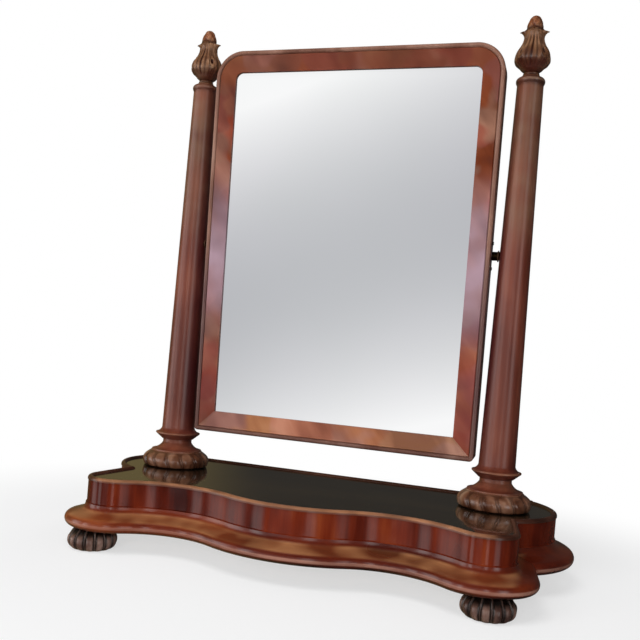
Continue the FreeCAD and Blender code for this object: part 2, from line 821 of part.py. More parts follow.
for side, reach in (("right", d.column_reach), ("left", -d.column_reach)):
    skirt = turned(f"skirt_{side}_body", skirt_profile)
    keep(f"column_skirt_{side}", place(skirt, reach, column_y, base_top))
    finial = turned(f"finial_{side}_body", bud_profile)
    keep(f"finial_{side}", place(finial, reach, column_y, collar_z))
    block = box(f"block_{side}", reach - d.block_length / 2, column_y - d.block_depth / 2,
                block_bottom, d.block_length, d.block_depth, d.block_thickness)
    hole = rod(f"block_hole_{side}", tenon_hole, d.block_thickness, reach, column_y, block_bottom)
    keep(f"column_block_{side}", cut(f"block_{side}_bored", block, [hole]))


# Mirror frame: sections as (in from the outer edge, Y) corners

rebate_in = d.frame_face - d.glass_lap
board_in = d.frame_face - d.backboard_lap
board_front = d.frame_back - d.backboard_thickness
glass_front = d.lip - d.sight_front
bead_seat = d.bead_depth - d.bead_front
bead_round = d.bead_width / 2
member_section = [
    (NIL, d.frame_back),
    (NIL, bead_seat),
    (d.bead_width, bead_seat),
    (d.bead_width, d.groove_depth - d.band_front),
    (d.bead_width + d.groove_width, -d.band_front),
    (d.frame_face, -d.sight_front),
    (d.frame_face, glass_front),
    (rebate_in, glass_front),
    (rebate_in, board_front),
    (board_in, board_front),
    (board_in, d.frame_back),
]
bead_section = [
    (NIL, bead_seat),
    (NIL, bead_round - d.bead_front),
    (bead_round, -d.bead_front, (bead_round, 1)),
    (d.bead_width, bead_round - d.bead_front, (bead_round, 1)),
    (d.bead_width, bead_seat),
]


def mirror_turns(section, place_corner):
    """Move a section's corners, turning its bends round because the move is a reflection."""
    corners = []
    for inwards, depth, *bend in section:
        corners.append((*place_corner(inwards, depth), *[(size, -turn) for size, turn in bend]))
    return corners


def trim(body, name, outlines):
    """Cut outlines, drawn as (X, Z) corners, right through the body."""
    for index, outline in enumerate(outlines):
        sketch = new_sketch(body, "XZ_Plane", f"{name}_trim_{index}")
        draw_loop(sketch, outline)
        pocket = body.newObject("PartDesign::Pocket", f"{name}_pocket_{index}")
        pocket.Profile = sketch
        pocket.SideType = "Symmetric"
        pocket.setExpression("Length", (d.bead_front + d.frame_back).text + " * 4")


corner_x = half_x - d.corner_radius
corner_z = half_z - d.corner_radius
mitre_reach = d.frame_face * 2
right_corner = [
    (half_x, -half_z),
    (half_x, d.lower_corner - half_z),
    (half_x - d.lower_corner, -half_z, (d.lower_corner, -1)),
]
left_corner = [
    (-half_x, -half_z),
    (d.lower_corner - half_x, -half_z),
    (-half_x, d.lower_corner - half_z, (d.lower_corner, -1)),
]


def stile(name, section):
    """The right-hand upright, from the lower mitre to the start of the rounded corner."""
    body = new_body(name)
    sketch = new_sketch(body, "XY_Plane", f"{name}_section", -half_z)
    draw_loop(sketch, mirror_turns(section, lambda inwards, depth: (half_x - inwards, depth)))
    pad = body.newObject("PartDesign::Pad", f"{name}_pad")
    pad.Profile = sketch
    pad.setExpression("Length", (half_z + corner_z).text)
    inside = half_x - mitre_reach
    below = [(half_x, -half_z), (inside, mitre_reach - half_z), (inside, -half_z)]
    trim(body, name, [below, right_corner])
    return body


def lower_rail(name, section):
    """The bottom member, mitred at both ends."""
    body = bar(name, mirror_turns(section, lambda inwards, depth: (depth, inwards - half_z)), half_x * 2)
    above = mitre_reach - half_z
    end = [(half_x, -half_z), (half_x, above), (half_x - mitre_reach, above)]
    trim(body, name, [end, [(-x, z) for x, z in end], right_corner, left_corner])
    return body


def upper_rail(name, section):
    """The top member between the rounded corners."""
    return bar(name, [(depth, half_z - inwards, *bend) for inwards, depth, *bend in section], corner_x * 2)


def rounded_corner(name, section):
    """A quarter turn of the section about the centre of the right-hand upper corner."""
    body = new_body(name)
    sketch = new_sketch(body, "XY_Plane", f"{name}_section")
    draw_loop(sketch, mirror_turns(section, lambda inwards, depth: (d.corner_radius - inwards, depth)))
    spin = body.newObject("PartDesign::Revolution", f"{name}_spin")
    spin.Profile = sketch
    spin.ReferenceAxis = (sketch, ["V_Axis"])
    spin.Reversed = True
    spin.Angle = 90
    return body


lower = keep("bottom_rail", lean(lower_rail("bottom_rail_body", member_section)))
keep("edge_bead_bottom", lean(lower_rail("edge_bead_bottom_body", bead_section)))
keep("top_rail", lean(upper_rail("top_rail_body", member_section)))
keep("edge_bead_top", lean(upper_rail("edge_bead_top_body", bead_section)))
corner = keep("corner_block_right",
              lean(rounded_corner("corner_block_body", member_section), corner_x, NIL, corner_z))
keep("corner_block_left", mirrored("corner_block_twin", corner))
bead_corner = keep("edge_bead_corner_right",
                   lean(rounded_corner("edge_bead_corner_body", bead_section), corner_x, NIL, corner_z))
keep("edge_bead_corner_left", mirrored("edge_bead_corner_twin", bead_corner))
bead_stile = keep("edge_bead_right", lean(stile("edge_bead_right_body", bead_section)))
keep("edge_bead_left", mirrored("edge_bead_twin", bead_stile))


# Pivots: plate, boss and pin on the stile, with the leather washer that gives the friction

washer_face = bush_face - d.run_gap
boss_end = washer_face - d.leather_thickness
plate_x = half_x - d.plate_thickness
screw_z = d.plate_screw_spacing / 2
pilot = d.screw_radius + d.pilot_gap
plate_size = (d.plate_thickness, d.plate_half_width * 2, d.plate_half_length * 2)
plate_place = (plate_x, -d.plate_half_width, -d.plate_half_length)


def plate_holes(name):
    """Holes for the plate's two screws, which run in from the plate's face."""
    start = half_x - d.screw_length - d.glue_gap
    length = d.screw_length + d.glue_gap
    return [rod(f"{name}_{index}", pilot, length, start, NIL, screw_z * index, along_x=True)
            for index in (-1, 1)]


plate_blank = joined("plate_blank", [
    box("plate", *plate_place, *plate_size),
    rod("boss", d.boss_radius, boss_end - half_x, half_x, NIL, NIL, along_x=True),
    rod("pin", d.pin_radius, boss_end - half_x + d.leather_thickness + d.run_gap + d.pin_length,
        half_x, NIL, NIL, along_x=True),
])
plate = keep("pivot_plate_right", lean(cut("plate_bored", plate_blank, plate_holes("plate_hole"))))
keep("pivot_plate_left", mirrored("plate_twin", plate))

leather = cut("leather_bored",
              rod("leather", d.leather_radius, d.leather_thickness, boss_end, along_x=True),
              [rod("leather_hole", d.pin_radius + d.glue_gap, d.leather_thickness, boss_end, along_x=True)])
leather = keep("friction_washer_right", lean(leather))
keep("friction_washer_left", mirrored("leather_twin", leather))

# The stile's recess for the plate, and its pilot holes for the plate and backboard screws.
recess = box("plate_recess", *plate_place, *plate_size)
board_screw_x = half_x - (board_in + rebate_in) / 2
board_screw_reach = half_z - d.board_screw_inset
board_screw_heights = [board_screw_reach * index / 3 for index in (-3, -1, 1, 3)]


def board_holes(name, reach):
    """Holes for the backboard screws on one side, running forward from the back."""
    depth = d.screw_length + d.glue_gap
    items = []
    for index, height in enumerate(board_screw_heights):
        item = rod(f"{name}_{index}", pilot, depth, reach, d.frame_back, height)
        item.Placement = Placement(Vector(), Rotation(Vector(1, 0, 0), 90))
        items.append(place(item, reach, d.frame_back, height))
    return items


stile_tools = [recess] + plate_holes("stile_hole") + board_holes("stile_board_hole", board_screw_x)
upright = keep("stile_right", lean(cut("stile_bored", stile("stile_body", member_section), stile_tools)))
keep("stile_left", mirrored("stile_twin", upright))


# Glass, backboard and wedges

def rounded_panel(name, reach, front, thickness):
    """A panel that stops so far in from the frame's outer edge, with rounded upper corners."""
    body = new_body(name)
    sketch = new_sketch(body, "XZ_Plane", f"{name}_outline", -front)
    side = half_x - reach
    top = half_z - reach
    radius = d.corner_radius - reach
    draw_loop(sketch, [
        (-side, -top),
        (side, -top),
        (side, top - radius),
        (side - radius, top, (radius, 1)),
        (radius - side, top),
        (-side, top - radius, (radius, 1)),
    ])
    pad = body.newObject("PartDesign::Pad", f"{name}_pad")
    pad.Profile = sketch
    pad.Reversed = True
    pad.setExpression("Length", thickness.text)
    return body


glass_in = rebate_in + d.glass_gap
panel_in = board_in + d.glass_gap
keep("mirror_glass", lean(rounded_panel("glass_body", glass_in, glass_front, d.glass_thickness)))
panel = rounded_panel("backboard_body", panel_in, board_front, d.backboard_thickness)
panel_holes = board_holes("board_hole_right", board_screw_x) + board_holes("board_hole_left", -board_screw_x)
keep("backboard", lean(cut("backboard_bored", panel, panel_holes)))

glass_back = glass_front + d.glass_thickness
wedge_x = half_x - rebate_in - d.wedge_width
wedges = []
for side, start in (("right", wedge_x), ("left", -(wedge_x + d.wedge_width))):
    for index in range(-1, 2):
        low = (half_z - d.wedge_inset) * index - d.wedge_length / 2
        wedges.append(box(f"wedge_{side}_{index + 1}", start, glass_back, low,
                          d.wedge_width, board_front - glass_back, d.wedge_length))
keep("glass_wedges", lean(group("wedge_set", wedges)))


# Fasteners: copies of one shape in one node

def round_head_screw():
    """A wood screw with its head's seat at the origin and its shank along -Z."""
    head = d.screw_head.number
    rise = d.screw_head_height.number
    shank = d.screw_radius.number
    tip = -d.screw_length.number
    dome = (head ** 2 + rise ** 2) / (2 * rise)
    half_way = math.asin(head / dome) / 2
    middle = Vector(dome * math.sin(half_way), 0, rise - dome + dome * math.cos(half_way))
    crown = Part.Arc(Vector(head, 0, 0), middle, Vector(0, 0, rise))
    outline = [Vector(0, 0, rise), Vector(0, 0, tip), Vector(shank, 0, tip + shank),
               Vector(shank, 0, 0), Vector(head, 0, 0)]
    wire = Part.Wire([crown.toShape()] + Part.makePolygon(outline).Edges)
    return Part.Face(wire).revolve(Vector(), Vector(0, 0, 1), 360)


def coach_screw():
    """A hexagon-headed screw with its head's top at the origin and its shank along +Z."""
    head = d.lag_head.number
    corners = [Vector(head, 0, 0)]
    for index in range(1, 7):
        angle = math.radians(60 * index)
        corners.append(Vector(head * math.cos(angle), head * math.sin(angle), 0))
    hexagon = Part.Face(Part.makePolygon(corners))
    block = hexagon.extrude(Vector(0, 0, -d.lag_head_height.number))
    shank = d.lag_radius.number
    length = d.lag_length.number - shank
    rod_shape = Part.makeCylinder(shank, length)
    tip = Part.makeCone(shank, 0, shank, Vector(0, 0, length))
    return block.fuse([rod_shape, tip]).removeSplitter()


def fasteners(label, shape, places):
    """Copies of a fastener at each placement, as one node."""
    copies = []
    for where in places:
        copy = shape.copy()
        copy.Placement = where
        copies.append(copy)
    item = doc.addObject("Part::Feature", f"{label}_set")
    item.Shape = Part.Compound(copies)
    return keep(label, item)


pivot_spot = Vector(0, column_y.number, pivot_z.number)
tilt = Placement(pivot_spot, Rotation(Vector(1, 0, 0), d.rest_tilt.number))
plate_screw_places = []
board_screw_places = []
for side in (-1, 1):
    outwards = Rotation(Vector(0, 1, 0), 90 * side)
    for index in (-1, 1):
        spot = Vector(half_x.number * side, 0, screw_z.number * index)
        plate_screw_places.append(tilt.multiply(Placement(spot, outwards)))
    backwards = Rotation(Vector(1, 0, 0), -90)
    for height in board_screw_heights:
        spot = Vector(board_screw_x.number * side, d.frame_back.number, height.number)
        board_screw_places.append(tilt.multiply(Placement(spot, backwards)))
fasteners("pivot_plate_screws", round_head_screw(), plate_screw_places)
fasteners("backboard_screws", round_head_screw(), board_screw_places)

head_seat = block_bottom - d.lag_washer_thickness
lag_places = []
for side in (-1, 1):
    spot = Vector(d.column_reach.number * side, column_y.number, head_seat.number)
    lag_places.append(Placement(spot, Rotation()))
fasteners("column_screws", coach_screw(), lag_places)
washer = Part.makeCylinder(d.lag_washer.number, d.lag_washer_thickness.number)
washer = washer.cut(Part.makeCylinder(lag_bore.number, d.lag_washer_thickness.number))
fasteners("column_washers", washer, lag_places)


# Check every object, then write each node

doc.recompute()
for item in doc.Objects:
    if "Invalid" in item.State or "Error" in item.State:
        raise RuntimeError(f"{item.Label} did not recompute: {item.State}")
for label, item in nodes.items():
    if item.Shape.isNull() or not item.Shape.isValid():
        raise RuntimeError(f"{label} has no valid shape")
    solids = item.Shape.Solids
    volume = sum(solid.Volume for solid in solids)
    low, high = item.Shape.BoundBox.ZMin, item.Shape.BoundBox.ZMax
    print(f"{label}: {len(solids)} solid(s), {volume / 1000:.1f} cm3, Z {low:.1f} to {high:.1f}")

os.makedirs("parts", exist_ok=True)
for label, item in nodes.items():
    item.Shape.exportStep(f"parts/{label}.step")
print(f"{len(nodes)} nodes written")
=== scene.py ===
# %% [markdown]
# # A dressing table mirror
# The object is a swing mirror that stands on a dressing table: a veneered base on
# four carved feet, two turned columns with carved finials, and a framed glass that
# tilts between them. The CAD model is loaded first, as a fixed frame, because every
# piece made below takes its place and its sizes from it.

# %% Load the frame
import json
import math

import bmesh
import bpy
import numpy as np
from mathutils import Matrix, Vector

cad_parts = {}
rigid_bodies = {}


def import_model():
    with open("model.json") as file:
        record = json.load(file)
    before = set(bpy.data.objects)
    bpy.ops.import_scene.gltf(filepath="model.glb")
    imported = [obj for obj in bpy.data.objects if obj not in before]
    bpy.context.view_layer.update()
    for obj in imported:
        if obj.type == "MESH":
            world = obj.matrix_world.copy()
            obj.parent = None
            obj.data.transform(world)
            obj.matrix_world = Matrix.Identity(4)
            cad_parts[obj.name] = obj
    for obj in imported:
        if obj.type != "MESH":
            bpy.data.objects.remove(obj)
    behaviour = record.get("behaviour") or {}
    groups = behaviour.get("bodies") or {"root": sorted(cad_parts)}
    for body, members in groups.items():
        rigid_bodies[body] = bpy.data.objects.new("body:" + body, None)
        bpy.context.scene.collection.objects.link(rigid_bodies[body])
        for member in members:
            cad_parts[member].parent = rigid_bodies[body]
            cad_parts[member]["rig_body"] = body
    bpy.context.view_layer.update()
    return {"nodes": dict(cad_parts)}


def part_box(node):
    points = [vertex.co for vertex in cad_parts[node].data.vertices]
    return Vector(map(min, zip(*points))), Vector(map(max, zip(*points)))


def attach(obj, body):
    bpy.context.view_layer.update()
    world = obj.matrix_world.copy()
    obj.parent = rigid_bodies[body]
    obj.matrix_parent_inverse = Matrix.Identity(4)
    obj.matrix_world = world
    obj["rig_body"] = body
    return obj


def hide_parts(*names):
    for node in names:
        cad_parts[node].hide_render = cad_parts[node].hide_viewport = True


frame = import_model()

nodes = frame["nodes"]
MM = 0.001

# %% [markdown]
# Two helpers serve the whole lesson. Colours are written as sRGB hex values, as a
# paint chart gives them, and have to be turned to linear light for a shader. A node
# is always added in the same way: make it, give it its settings, then set or link
# its inputs. One function for all kinds of node keeps the cells short.

# %% Colour and node helpers
def colour(code):
    """Linear RGBA for an sRGB hex value."""
    parts = [int(code[i:i + 2], 16) / 255 for i in (1, 3, 5)]
    linear = [c / 12.92 if c <= 0.04045 else ((c + 0.055) / 1.055) ** 2.4 for c in parts]
    return (*linear, 1.0)


def add(tree, kind, inputs=None, **settings):
    """A new node with its settings, its inputs set to values or linked to sockets."""
    node = tree.nodes.new(kind)
    for name, value in settings.items():
        setattr(node, name, value)
    for name, value in (inputs or {}).items():
        if isinstance(value, bpy.types.NodeSocket):
            tree.links.new(value, node.inputs[name])
        else:
            node.inputs[name].default_value = value
    return node


WHITE = colour("#ffffff")
print("mid grey in linear light:", round(colour("#808080")[0], 3))

# %% [markdown]
# ## Camera
# The view is from low down and a little to the right, with the camera turned about
# its own axis, so that uprights lean in the picture. The place and the angles were
# solved from the corners of the frame, the tips of the finials and the feet. A
# look-at constraint would be simpler, but it can't give that lean, so the axes of
# the camera are worked out from its yaw, pitch and roll.

# %% Camera
CAMERA_PLACE = Vector((0.36283, -1.20552, 0.32579))
YAW, PITCH, ROLL = 0.30446, -0.0182, 0.08329
LENS, SENSOR = 44.45, 36
SHIFT = (0.01335, 0.07405)

forward = Vector((-math.sin(YAW) * math.cos(PITCH), math.cos(YAW) * math.cos(PITCH), math.sin(PITCH)))
level = Vector((math.cos(YAW), math.sin(YAW), 0))
raised = level.cross(forward)
right = math.cos(ROLL) * level + math.sin(ROLL) * raised
above = -math.sin(ROLL) * level + math.cos(ROLL) * raised
axes = Matrix((right, above, -forward)).transposed().to_4x4()

camera_data = bpy.data.cameras.new("camera")
camera_data.lens, camera_data.sensor_width = LENS, SENSOR
camera_data.shift_x, camera_data.shift_y = SHIFT
camera = bpy.data.objects.new("camera", camera_data)
camera.matrix_world = Matrix.Translation(CAMERA_PLACE) @ axes
bpy.context.scene.collection.objects.link(camera)
bpy.context.scene.camera = camera
print("camera at", tuple(round(v, 3) for v in camera.location))

# %% [markdown]
# ## Studio
# Polish shows what stands round it, so the studio matters as much as the lamps. The
# camera sees a white surround. The glass sees a pale wall in front, grey along a
# slanting fold and white in two corners. The rest of the room is dim, because a white
# wall on every side would bleach the wood, and tall panes of light stand in it: they
# give the long soft streaks on the columns and on the curves of the base. All of it is
# painted on the world by direction. One helper, which says how near a value is to a
# middle, draws the soft edges here and the bands of wear on the wood later.

# %% Directions in the studio
# a slope is never divided by less than this part of a direction
LEAST_DEPTH = 0.05

scene = bpy.context.scene
scene.view_settings.view_transform = "Standard"
scene.world = bpy.data.worlds.new("studio")
scene.world.use_nodes = True
sky = scene.world.node_tree
sky.nodes.clear()

direction = add(sky, "ShaderNodeTexCoord").outputs["Generated"]
toward = add(sky, "ShaderNodeSeparateXYZ", {"Vector": direction}).outputs
ahead = add(sky, "ShaderNodeMath", {0: toward["Y"], 1: -1.0}, operation="MULTIPLY").outputs[0]


def nearness(tree, value, middle, near, far, most=1.0, blend="SMOOTHSTEP"):
    """How near a value is to a middle: most within the distance near, and 0 beyond the distance far."""
    off = add(tree, "ShaderNodeMath", {0: value, 1: middle}, operation="SUBTRACT").outputs[0]
    away = add(tree, "ShaderNodeMath", {0: off}, operation="ABSOLUTE").outputs[0]
    return add(tree, "ShaderNodeMapRange", {"Value": away, "From Min": far, "From Max": near, "To Max": most},
               interpolation_type=blend).outputs["Result"]


print("world:", scene.world.name)

# %% The wall that the glass sees
# middle and half the size of the wall, as slopes to the right and up, per unit ahead
WALL = ((-0.28, 0.16), (0.05, 0.205))
# shares of its half size at which it is still whole, and gone
WALL_WHOLE, WALL_GONE = 1.12, 1.5
# the grey valley: its slant, and the products of height and slant that are grey and white
VALLEY_SLANT, VALLEY_GREY, VALLEY_WHITE = -0.6, -0.1, 1.45

reach = add(sky, "ShaderNodeMath", {0: ahead, 1: LEAST_DEPTH}, operation="MAXIMUM").outputs[0]
shares = []
for axis, (middle, half) in zip("XZ", WALL):
    slope = add(sky, "ShaderNodeMath", {0: toward[axis], 1: reach}, operation="DIVIDE").outputs[0]
    shares.append(add(sky, "ShaderNodeMapRange",
                      {"Value": slope, "From Min": middle, "From Max": middle + half},
                      clamp=False).outputs["Result"])
# paler with the height squared, and towards the upper left and the lower right
slant = add(sky, "ShaderNodeMath", {0: shares[0], 1: VALLEY_SLANT, 2: shares[1]},
            operation="MULTIPLY_ADD").outputs[0]
valley = add(sky, "ShaderNodeMath", {0: slant, 1: shares[1]}, operation="MULTIPLY").outputs[0]
paleness = add(sky, "ShaderNodeMapRange",
               {"Value": valley, "From Min": VALLEY_GREY, "From Max": VALLEY_WHITE}).outputs["Result"]
wall = add(sky, "ShaderNodeMix", {"Factor": paleness, "A": colour("#bfc0c4"), "B": WHITE},
           data_type="RGBA").outputs["Result"]
fades = [nearness(sky, share, 0.0, WALL_WHOLE, WALL_GONE) for share in shares]
wall_share = add(sky, "ShaderNodeMath", {0: fades[0], 1: fades[1]}, operation="MULTIPLY").outputs[0]
print("wall nodes:", len(sky.nodes))

# %% The rest of the room
# parts of a direction along Y at which the back of the room ends and the front is full
BACK_END, FRONT_FULL = 0.15, -0.55
# slopes to the left, behind the object, at which the lit wall begins and is full
LIT_START, LIT_FULL = -0.36, -0.56

# behind, where the polished top looks, a lit wall to the left gives an olive sheen
deep = add(sky, "ShaderNodeMath", {0: toward["Y"], 1: LEAST_DEPTH}, operation="MAXIMUM").outputs[0]
beside = add(sky, "ShaderNodeMath", {0: toward["X"], 1: deep}, operation="DIVIDE").outputs[0]
lit_wall = add(sky, "ShaderNodeMapRange", {"Value": beside, "From Min": LIT_START, "From Max": LIT_FULL},
               interpolation_type="SMOOTHSTEP").outputs["Result"]
behind = add(sky, "ShaderNodeMix", {"Factor": lit_wall, "A": colour("#3a3733"), "B": colour("#746745")},
             data_type="RGBA").outputs["Result"]
front = add(sky, "ShaderNodeMapRange",
            {"Value": toward["Y"], "From Min": BACK_END, "From Max": FRONT_FULL},
            interpolation_type="SMOOTHSTEP").outputs["Result"]
room = add(sky, "ShaderNodeMix", {"Factor": front, "A": behind, "B": colour("#4c4845")},
           data_type="RGBA").outputs["Result"]
walled = add(sky, "ShaderNodeMix", {"Factor": wall_share, "A": room, "B": wall},
             data_type="RGBA").outputs["Result"]
print("room nodes:", len(sky.nodes))

# %% Panes of light
# bearing and half width in radians (right of straight ahead is positive), and strength
PANES = ((-1.15, 0.20, 2.4), (-0.68, 0.10, 3.2), (0.25, 0.08, 2.6), (0.85, 0.16, 2.4))
# height of their middle, and how far up and down from it they are full and gone
PANE_LEVEL, PANE_FULL, PANE_GONE = 0.08, 0.12, 0.5
# shares of half its width at which a soft band is full and gone
BAND_FULL, BAND_GONE = 0.6, 1.4

bearing = add(sky, "ShaderNodeMath", {0: toward["X"], 1: ahead}, operation="ARCTAN2").outputs[0]
upright = nearness(sky, toward["Z"], PANE_LEVEL, PANE_FULL, PANE_GONE)
seen_in_polish = walled
for middle, half, strength in PANES:
    pane = nearness(sky, bearing, middle, BAND_FULL * half, BAND_GONE * half, strength)
    lit = add(sky, "ShaderNodeMath", {0: pane, 1: upright}, operation="MULTIPLY").outputs[0]
    seen_in_polish = add(sky, "ShaderNodeMix", {"Factor": lit, "A": seen_in_polish, "B": WHITE},
                         data_type="RGBA", blend_type="ADD", clamp_factor=False).outputs["Result"]
print("panes:", len(PANES))

# %% What each kind of ray sees
ray = add(sky, "ShaderNodeLightPath").outputs
mirrored = add(sky, "ShaderNodeMath", {0: ray["Is Glossy Ray"], 1: ray["Is Transmission Ray"]},
               operation="MAXIMUM").outputs[0]
unseen = add(sky, "ShaderNodeMix", {"Factor": mirrored, "A": colour("#696b6e"), "B": seen_in_polish},
             data_type="RGBA").outputs["Result"]
surround = add(sky, "ShaderNodeMix", {"Factor": ray["Is Camera Ray"], "A": unseen, "B": WHITE},
               data_type="RGBA").outputs["Result"]
background = add(sky, "ShaderNodeBackground", {"Color": surround, "Strength": 1.0}).outputs[0]
add(sky, "ShaderNodeOutputWorld", {"Surface": background})
print("surround nodes:", len(sky.nodes))

# %% [markdown]
# ## Floor
# The floor is a wide matt white disc that takes the object's shadow. A plain disc would
# show its edge against the white surround, so towards the edge the camera sees more and
# more pure white instead of the paint. Polish doesn't show the floor at all, because its
# white would bleach every low curve.

# %% Floor
FLOOR_RADIUS, FLOOR_SIDES = 2.4, 96
# share of pure white near the object, and the distances between which it grows to all
LEAST_VEIL, VEIL_START, VEIL_FULL = 0.6, 0.45, 1.0

floor_mesh = bpy.data.meshes.new("floor")
build = bmesh.new()
bmesh.ops.create_circle(build, cap_ends=True, segments=FLOOR_SIDES, radius=FLOOR_RADIUS)
build.to_mesh(floor_mesh)
build.free()
floor = bpy.data.objects.new("floor", floor_mesh)
scene.collection.objects.link(floor)

floor_paint = bpy.data.materials.new("matt white studio floor")
floor_paint.use_nodes = True
floor_mesh.materials.append(floor_paint)
paint = floor_paint.node_tree
paint.nodes.clear()
place = add(paint, "ShaderNodeTexCoord").outputs["Object"]
away = add(paint, "ShaderNodeVectorMath", {0: place}, operation="LENGTH").outputs["Value"]
fade = add(paint, "ShaderNodeMapRange",
           {"Value": away, "From Min": VEIL_START, "From Max": VEIL_FULL, "To Min": LEAST_VEIL},
           interpolation_type="SMOOTHSTEP").outputs["Result"]
seen = add(paint, "ShaderNodeLightPath").outputs
veil = add(paint, "ShaderNodeMath", {0: fade, 1: seen["Is Camera Ray"]}, operation="MULTIPLY").outputs[0]
matt = add(paint, "ShaderNodeBsdfDiffuse", {"Color": colour("#f6f6f6")}).outputs[0]
glow = add(paint, "ShaderNodeEmission", {"Color": WHITE, "Strength": 1.0}).outputs[0]
whitened = add(paint, "ShaderNodeMixShader", {0: veil, 1: matt, 2: glow}).outputs[0]
clear = add(paint, "ShaderNodeBsdfTransparent").outputs[0]
blend = add(paint, "ShaderNodeMixShader", {0: seen["Is Glossy Ray"], 1: whitened, 2: clear}).outputs[0]
add(paint, "ShaderNodeOutputMaterial", {"Surface": blend})
print("floor radius", FLOOR_RADIUS)

# %% [markdown]
# ## Lamps
# Four large soft lamps give the plain light: one from above, one from the left, one from
# the front, and one behind for the edges. Polish doesn't show them, because the panes of
# the studio do that work.

# %% Lamps
AIM = Vector((0, 0, 0.35))
# place and size in metres, and power in watts
LAMPS = {
    "lamp_over": ((-0.4, -1.2, 2.5), (1.6, 1.2), 32),
    "lamp_left": ((-1.6, -2.2, 1.3), (0.9, 1.4), 14),
    "lamp_front": ((0.2, -2.7, 0.8), (1.0, 0.8), 38),
    "lamp_back": ((0.3, 2.8, 1.1), (1.2, 1.0), 24),
}
for name, (place, size, power) in LAMPS.items():
    lamp = bpy.data.lights.new(name, "AREA")
    lamp.shape = "RECTANGLE"
    lamp.size, lamp.size_y = size
    lamp.energy = power
    holder = bpy.data.objects.new(name, lamp)
    holder.location = place
    holder.rotation_euler = (AIM - Vector(place)).to_track_quat("-Z", "Y").to_euler()
    holder.visible_glossy = False
    scene.collection.objects.link(holder)
print("lamps:", list(LAMPS))

# %% [markdown]
# ## Mahogany
# Every show surface is Cuban mahogany under French polish: many thin coats of
# shellac, rubbed until they shine. The eye gets three things from it: a soft figure a
# few centimetres wide, faint streaks along the grain, and a thin clear gloss on top.
# Two noises give the figure and the streaks, a ramp turns them to wood colours, and
# the shader's coat is the shellac. The noises read Object coordinates, so that
# neighbouring pieces don't repeat each other.

# %% Polished wood
# the part of a noise, about its middle, that the wood tones are spread over
RAMP_START, RAMP_SPAN = 0.32, 0.36
# the figure is drawn out along the grain
FIGURE_STRETCH = 2.5
# shares of the roughness in the dark and in the light of the figure
SHEEN_LOW, SHEEN_HIGH = 0.88, 1.12
PORE_DEPTH = 0.4 * MM
# most of a noise lies between these values
NOISE_LOW, NOISE_HIGH = 0.3, 0.7


def polished_wood(name, tones, streak, mottle, turn=0.0, share=0.3, rough=0.32, shine=0.4,
                  coat=0.2, gloss=0.12, relief=0.02, hollow_shade=None):
    """Mahogany whose grain runs along Z, or along X where turn is a quarter turn about Y.

    tones are hex colours from dark to light; streak is (width, length) and mottle a width, in mm.
    share is how much of the colour the streaks give; hollow_shade is a tone of painted shade laid where the
    hollow attribute is high."""
    material = bpy.data.materials.new(name)
    material.use_nodes = True
    tree = material.node_tree
    shader = tree.nodes["Principled BSDF"]
    place = add(tree, "ShaderNodeTexCoord").outputs["Object"]
    grain = add(tree, "ShaderNodeMapping", {"Vector": place, "Rotation": (0, turn, 0)}).outputs[0]
    across, along = 1 / (streak[0] * MM), 1 / (streak[1] * MM)
    fine = add(tree, "ShaderNodeMapping", {"Vector": grain, "Scale": (across, across, along)}).outputs[0]
    wide = 1 / (mottle * MM)
    broad = add(tree, "ShaderNodeMapping",
                {"Vector": grain, "Scale": (wide, wide, wide / FIGURE_STRETCH)}).outputs[0]
    streaks = add(tree, "ShaderNodeTexNoise",
                  {"Vector": fine, "Scale": 1.0, "Detail": 4.0, "Roughness": 0.6}).outputs[0]
    figure = add(tree, "ShaderNodeTexNoise",
                 {"Vector": broad, "Scale": 1.0, "Detail": 1.5, "Distortion": 0.6}).outputs[0]
    mixed = add(tree, "ShaderNodeMix", {"Factor": share, "A": figure, "B": streaks},
                data_type="FLOAT").outputs["Result"]
    ramp = add(tree, "ShaderNodeValToRGB", {"Fac": mixed}, label="wood tones")
    stops = ramp.color_ramp.elements
    while len(stops) < len(tones):
        stops.new(0.5)
    for i, tone in enumerate(tones):
        stops[i].position = RAMP_START + RAMP_SPAN * i / (len(tones) - 1)
        stops[i].color = colour(tone)
    wood = ramp.outputs["Color"]
    # painted shade: the hollow attribute darkens the grooves and recesses of the carving
    if hollow_shade:
        hollow = add(tree, "ShaderNodeAttribute", attribute_name="hollow").outputs["Fac"]
        wood = add(tree, "ShaderNodeMix", {"Factor": hollow, "A": wood, "B": colour(hollow_shade)},
                   data_type="RGBA").outputs["Result"]
    tree.links.new(wood, shader.inputs["Base Color"])
    sheen = add(tree, "ShaderNodeMapRange",
                {"Value": figure, "From Min": NOISE_LOW, "From Max": NOISE_HIGH,
                 "To Min": SHEEN_LOW * rough, "To Max": SHEEN_HIGH * rough})
    tree.links.new(sheen.outputs[0], shader.inputs["Roughness"])
    bump = add(tree, "ShaderNodeBump", {"Height": streaks, "Strength": relief, "Distance": PORE_DEPTH})
    tree.links.new(bump.outputs[0], shader.inputs["Normal"])
    shader.inputs["Specular IOR Level"].default_value = shine
    shader.inputs["Coat Weight"].default_value = coat
    shader.inputs["Coat Roughness"].default_value = gloss
    return material


print("tones spread from", RAMP_START, "to", RAMP_START + RAMP_SPAN)

# %% [markdown]
# Old polish isn't even, and neither is the light on this object. Some bands are real
# wear and colour; others are painted light: pale painted highlights on edges and ledges,
# a painted reflection under the nose, and painted shade on the sides and edges out of the
# light. Most of that runs in level bands, so one helper lays bands of another tone over
# a finish, strong in some places and weak in others.

# %% Bands of wear and painted light
# mm over which the bands fade out past their limits
EDGE_FADE = 16
# values of the noise at which a band is weak and strong
WEAK_PLACE, STRONG_PLACE = 0.35, 0.65


def colour_so_far(material):
    """A finish's tree, its shader's colour socket and the socket that feeds it up to now."""
    tree = material.node_tree
    base = tree.nodes["Principled BSDF"].inputs["Base Color"]
    return tree, base, base.links[0].from_socket


